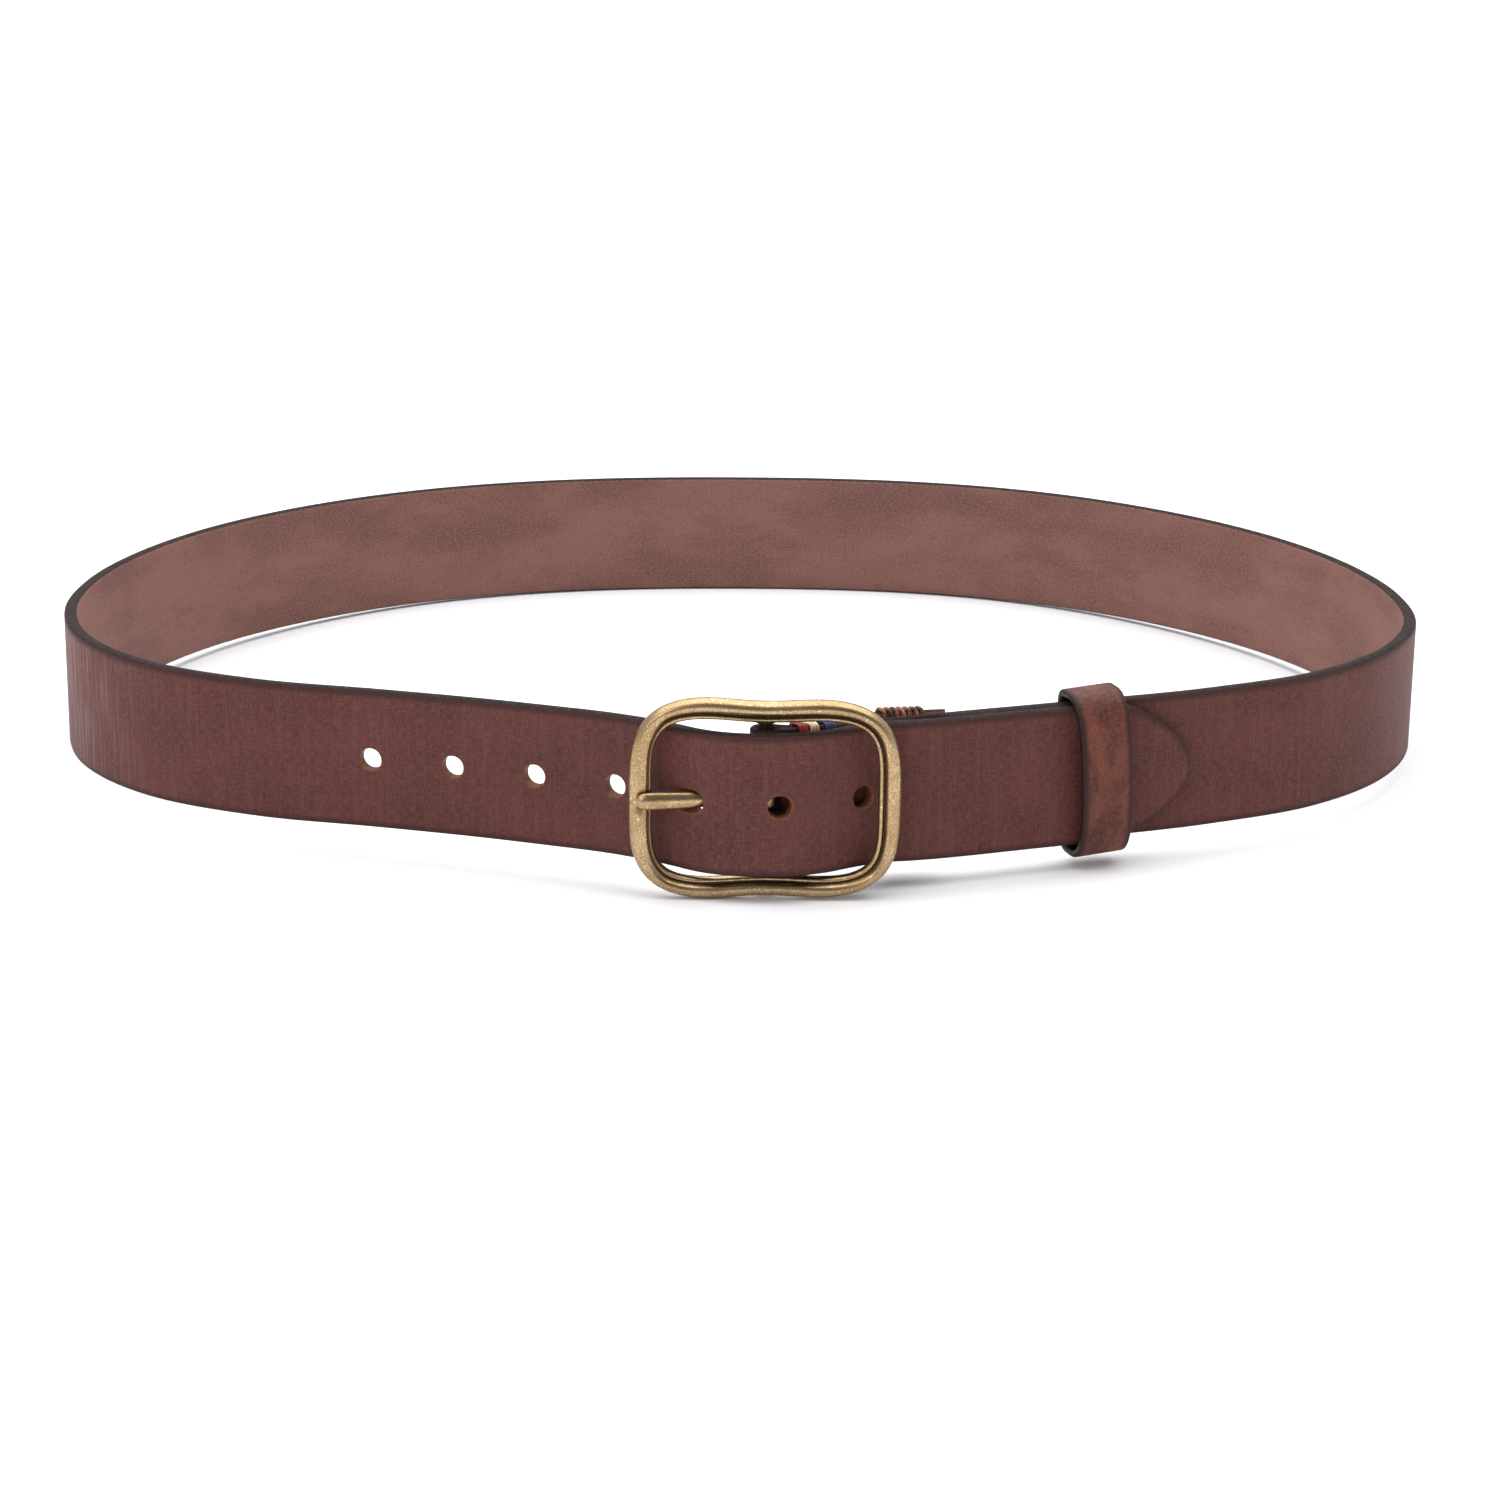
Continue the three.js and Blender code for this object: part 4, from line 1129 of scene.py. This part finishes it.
def keeper_material():
    material, shader = new_material("keeper_leather", specular_ior_level=0.16)
    place = attribute(shader, "place", "Vector")
    edge = attribute(shader, "edge")
    depth = wire("SeparateXYZ", place, out=2)
    cloud = noise(place, (0.07, 0.16, 0), 4.0)
    colour = mixed(ramp(cloud, 0.35, 0.68), KEEPER_DARK, KEEPER_MAIN)
    fine = plaited_grain(place)
    colour = mixed(times(fine, 0.25), colour, KEEPER_LIFT)
    colour = mixed(ramp(edge, 2.4, 0.6), colour, KEEPER_EDGE)
    colour = mixed(ramp(depth, 0.75, 0.2), colour, EDGE_INK)
    leather_surface(shader, place, fine, colour, 1.6, (0.42, 0.6), 0.3, 0.1)
    return material


def brass_material():
    material, shader = new_material("antique_brass", metallic=1.0)
    place = object_place(shader)
    cloud = noise(place, 90.0, 4.0)
    grit = noise(place, 2600.0, 3.0, 0.7)
    pits = noise(place, 1100.0, 2.0, 0.6)
    colour = mixed(ramp(cloud, 0.3, 0.7), BRASS_DARK, BRASS_MAIN)
    colour = mixed(ramp(grit, 0.60, 0.36), colour, BRASS_GRIT)
    colour = mixed(ramp(pits, 0.62, 0.75), colour, BRASS_FLECK)
    # Tarnish: patina in the groove, and painted shade on the centre bar.
    brightening = plus(attribute(shader, "wear_and_shade"), times(grit, 0.3))
    tarnish_and_shade = ramp(brightening, 0.95, 0.35)
    colour = mixed(tarnish_and_shade, colour, BRASS_TARNISH_AND_SHADE)
    rough = plus(ramp(grit, 0.3, 0.7, 0.42, 0.26), times(tarnish_and_shade, 0.2))
    feed(shader, base_color=colour, roughness=rough, normal=bumped(grit, 0.20, 0.04))
    return material


def steel_material():
    material, shader = new_material("staple_steel", metallic=1.0)
    place = object_place(shader)
    drawn = noise(place, (3000, 3000, 200), 2.0)
    colour = mixed(ramp(drawn, 0.35, 0.65), (0.30, 0.29, 0.28), (0.52, 0.51, 0.50))
    rough = ramp(drawn, 0.3, 0.7, 0.28, 0.42)
    feed(shader, base_color=colour, roughness=rough, normal=bumped(drawn, 0.2, 0.03))
    return material


def thread_material(name, dark, light, rough_low=0.55):
    """Waxed thread or lace, fibrous and patchy."""
    material, shader = new_material(name, sheen_weight=0.15)
    place = object_place(shader)
    fibre = noise(place, 2400.0, 4.0, 0.7)
    patch = noise(place, 420.0, 2.0)
    colour = mixed(ramp(times(fibre, patch), 0.16, 0.38), dark, light)
    rough = ramp(fibre, 0.3, 0.7, rough_low, 0.85)
    feed(shader, base_color=colour, roughness=rough, normal=bumped(fibre, 0.5, 0.08))
    return material


def floor_material():
    material, shader = new_material("floor", roughness=0.9, specular_ior_level=0.1)
    place = object_place(shader)
    tone = noise(place, 1.5, 2.0)
    feed(shader, base_color=mixed(tone, (0.90, 0.90, 0.915), (0.92, 0.92, 0.93)))
    return material


# ---- studio

CAMERA_TARGET = Vector((0.00285, -0.0416, 0.00516))
CAMERA_DISTANCE = 1.0265
CAMERA_ELEVATION = math.radians(18.33)
CAMERA_ROLL = 0.0113
CAMERA_LENS = 84.0
CAMERA_SENSOR = 36.0
FLOOR_REACH = 12.0
FLOOR_DROP = 0.0001


def make_camera():
    data = bpy.data.cameras.new("camera")
    data.lens = CAMERA_LENS
    data.sensor_width = CAMERA_SENSOR
    camera = linked("camera", data)
    back = Vector((0, -math.cos(CAMERA_ELEVATION), math.sin(CAMERA_ELEVATION)))
    right = Vector((1, 0, 0))
    up = back.cross(right)
    c, s = math.cos(CAMERA_ROLL), math.sin(CAMERA_ROLL)
    axes = Matrix((c * right + s * up, c * up - s * right, back)).transposed()
    camera.matrix_world = Matrix.Translation(CAMERA_TARGET + CAMERA_DISTANCE * back) @ axes.to_4x4()
    bpy.context.scene.camera = camera


def make_floor():
    mesh = bpy.data.meshes.new("floor")
    reach = FLOOR_REACH
    corners = [(-reach, -reach, 0), (reach, -reach, 0), (reach, reach, 0), (-reach, reach, 0)]
    mesh.from_pydata(corners, [], [(0, 1, 2, 3)])
    floor = linked("floor", mesh)
    floor.location.z = -FLOOR_DROP
    dress(floor, floor_material())


def area_light(name, place, target, size, power):
    data = bpy.data.lights.new(name, "AREA")
    data.shape = "RECTANGLE"
    data.size, data.size_y = size
    data.energy = power
    light = linked(name, data)
    light.location = place
    light.rotation_euler = (Vector(target) - Vector(place)).to_track_quat("-Z", "Y").to_euler()


def make_world():
    """Soft white surroundings, dimmer towards the camera's side."""
    world = bpy.data.worlds.new("studio")
    bpy.context.scene.world = world
    world.use_nodes = True
    tree = world.node_tree
    direction = wire("TexCoord", tree=tree)
    camera_side = (0.0, -0.94, 0.34)
    towards = wire("VectorMath", direction, camera_side, operation="DOT_PRODUCT", out=1)
    colour = mixed(ramp(towards, 0.35, 0.95), (0.97, 0.97, 1.0), (0.14, 0.14, 0.15))
    background = tree.nodes["Background"]
    tree.links.new(colour, background.inputs["Color"])
    background.inputs["Strength"].default_value = 0.8


def make_studio():
    make_camera()
    make_floor()
    make_world()
    area_light("overhead", (0.0, 0.9, 2.4), (0.0, 0.9, 0.0), (4.4, 4.6), 150.0)
    area_light("front_fill", (-0.9, -1.5, 0.9), (0, -0.05, 0.02), (0.9, 0.9), 8.0)
    view = bpy.context.scene.view_settings
    view.view_transform = "Standard"
    view.look = "None"


# ---- assembly

def settle(piece, material, body, slot, *nodes):
    """Gives a piece its material and body, and hides the CAD nodes that it stands for; the slot is not used.
    """
    dress(piece, material)
    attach(piece, body)
    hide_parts(*nodes)


make_studio()

brass = brass_material()
steel = steel_material()
settle(strap(), strap_material(), "belt", "strap_leather", "strap")
settle(frame_casting(), brass, "buckle", "brass", "buckle_frame")
settle(centre_bar(), brass, "buckle", "brass", "centre_bar")
settle(prong(), brass, "tongue", "brass", "prong")
settle(keeper_band(), keeper_material(), "keeper", "keeper_leather", "keeper_loop")
for side, place in ((-1, "front"), (1, "rear")):
    settle(staple(f"keeper_wire_{place}", side), steel, "keeper", "staple_steel", f"keeper_staple_{place}")

threads = {colour: thread_material(f"{colour}_thread", *tones) for colour, tones in THREADS.items()}
lace = thread_material("tan_lace", *LACE, 0.6)
for top, edge in ((True, "top"), (False, "bottom")):
    for colour, material in threads.items():
        settle(whipping(colour, top), material, "belt", f"{colour}_thread", f"{colour}_whipping_{edge}")
    settle(flap_lace(top), lace, "belt", "tan_lace", f"flap_lacing_{edge}")
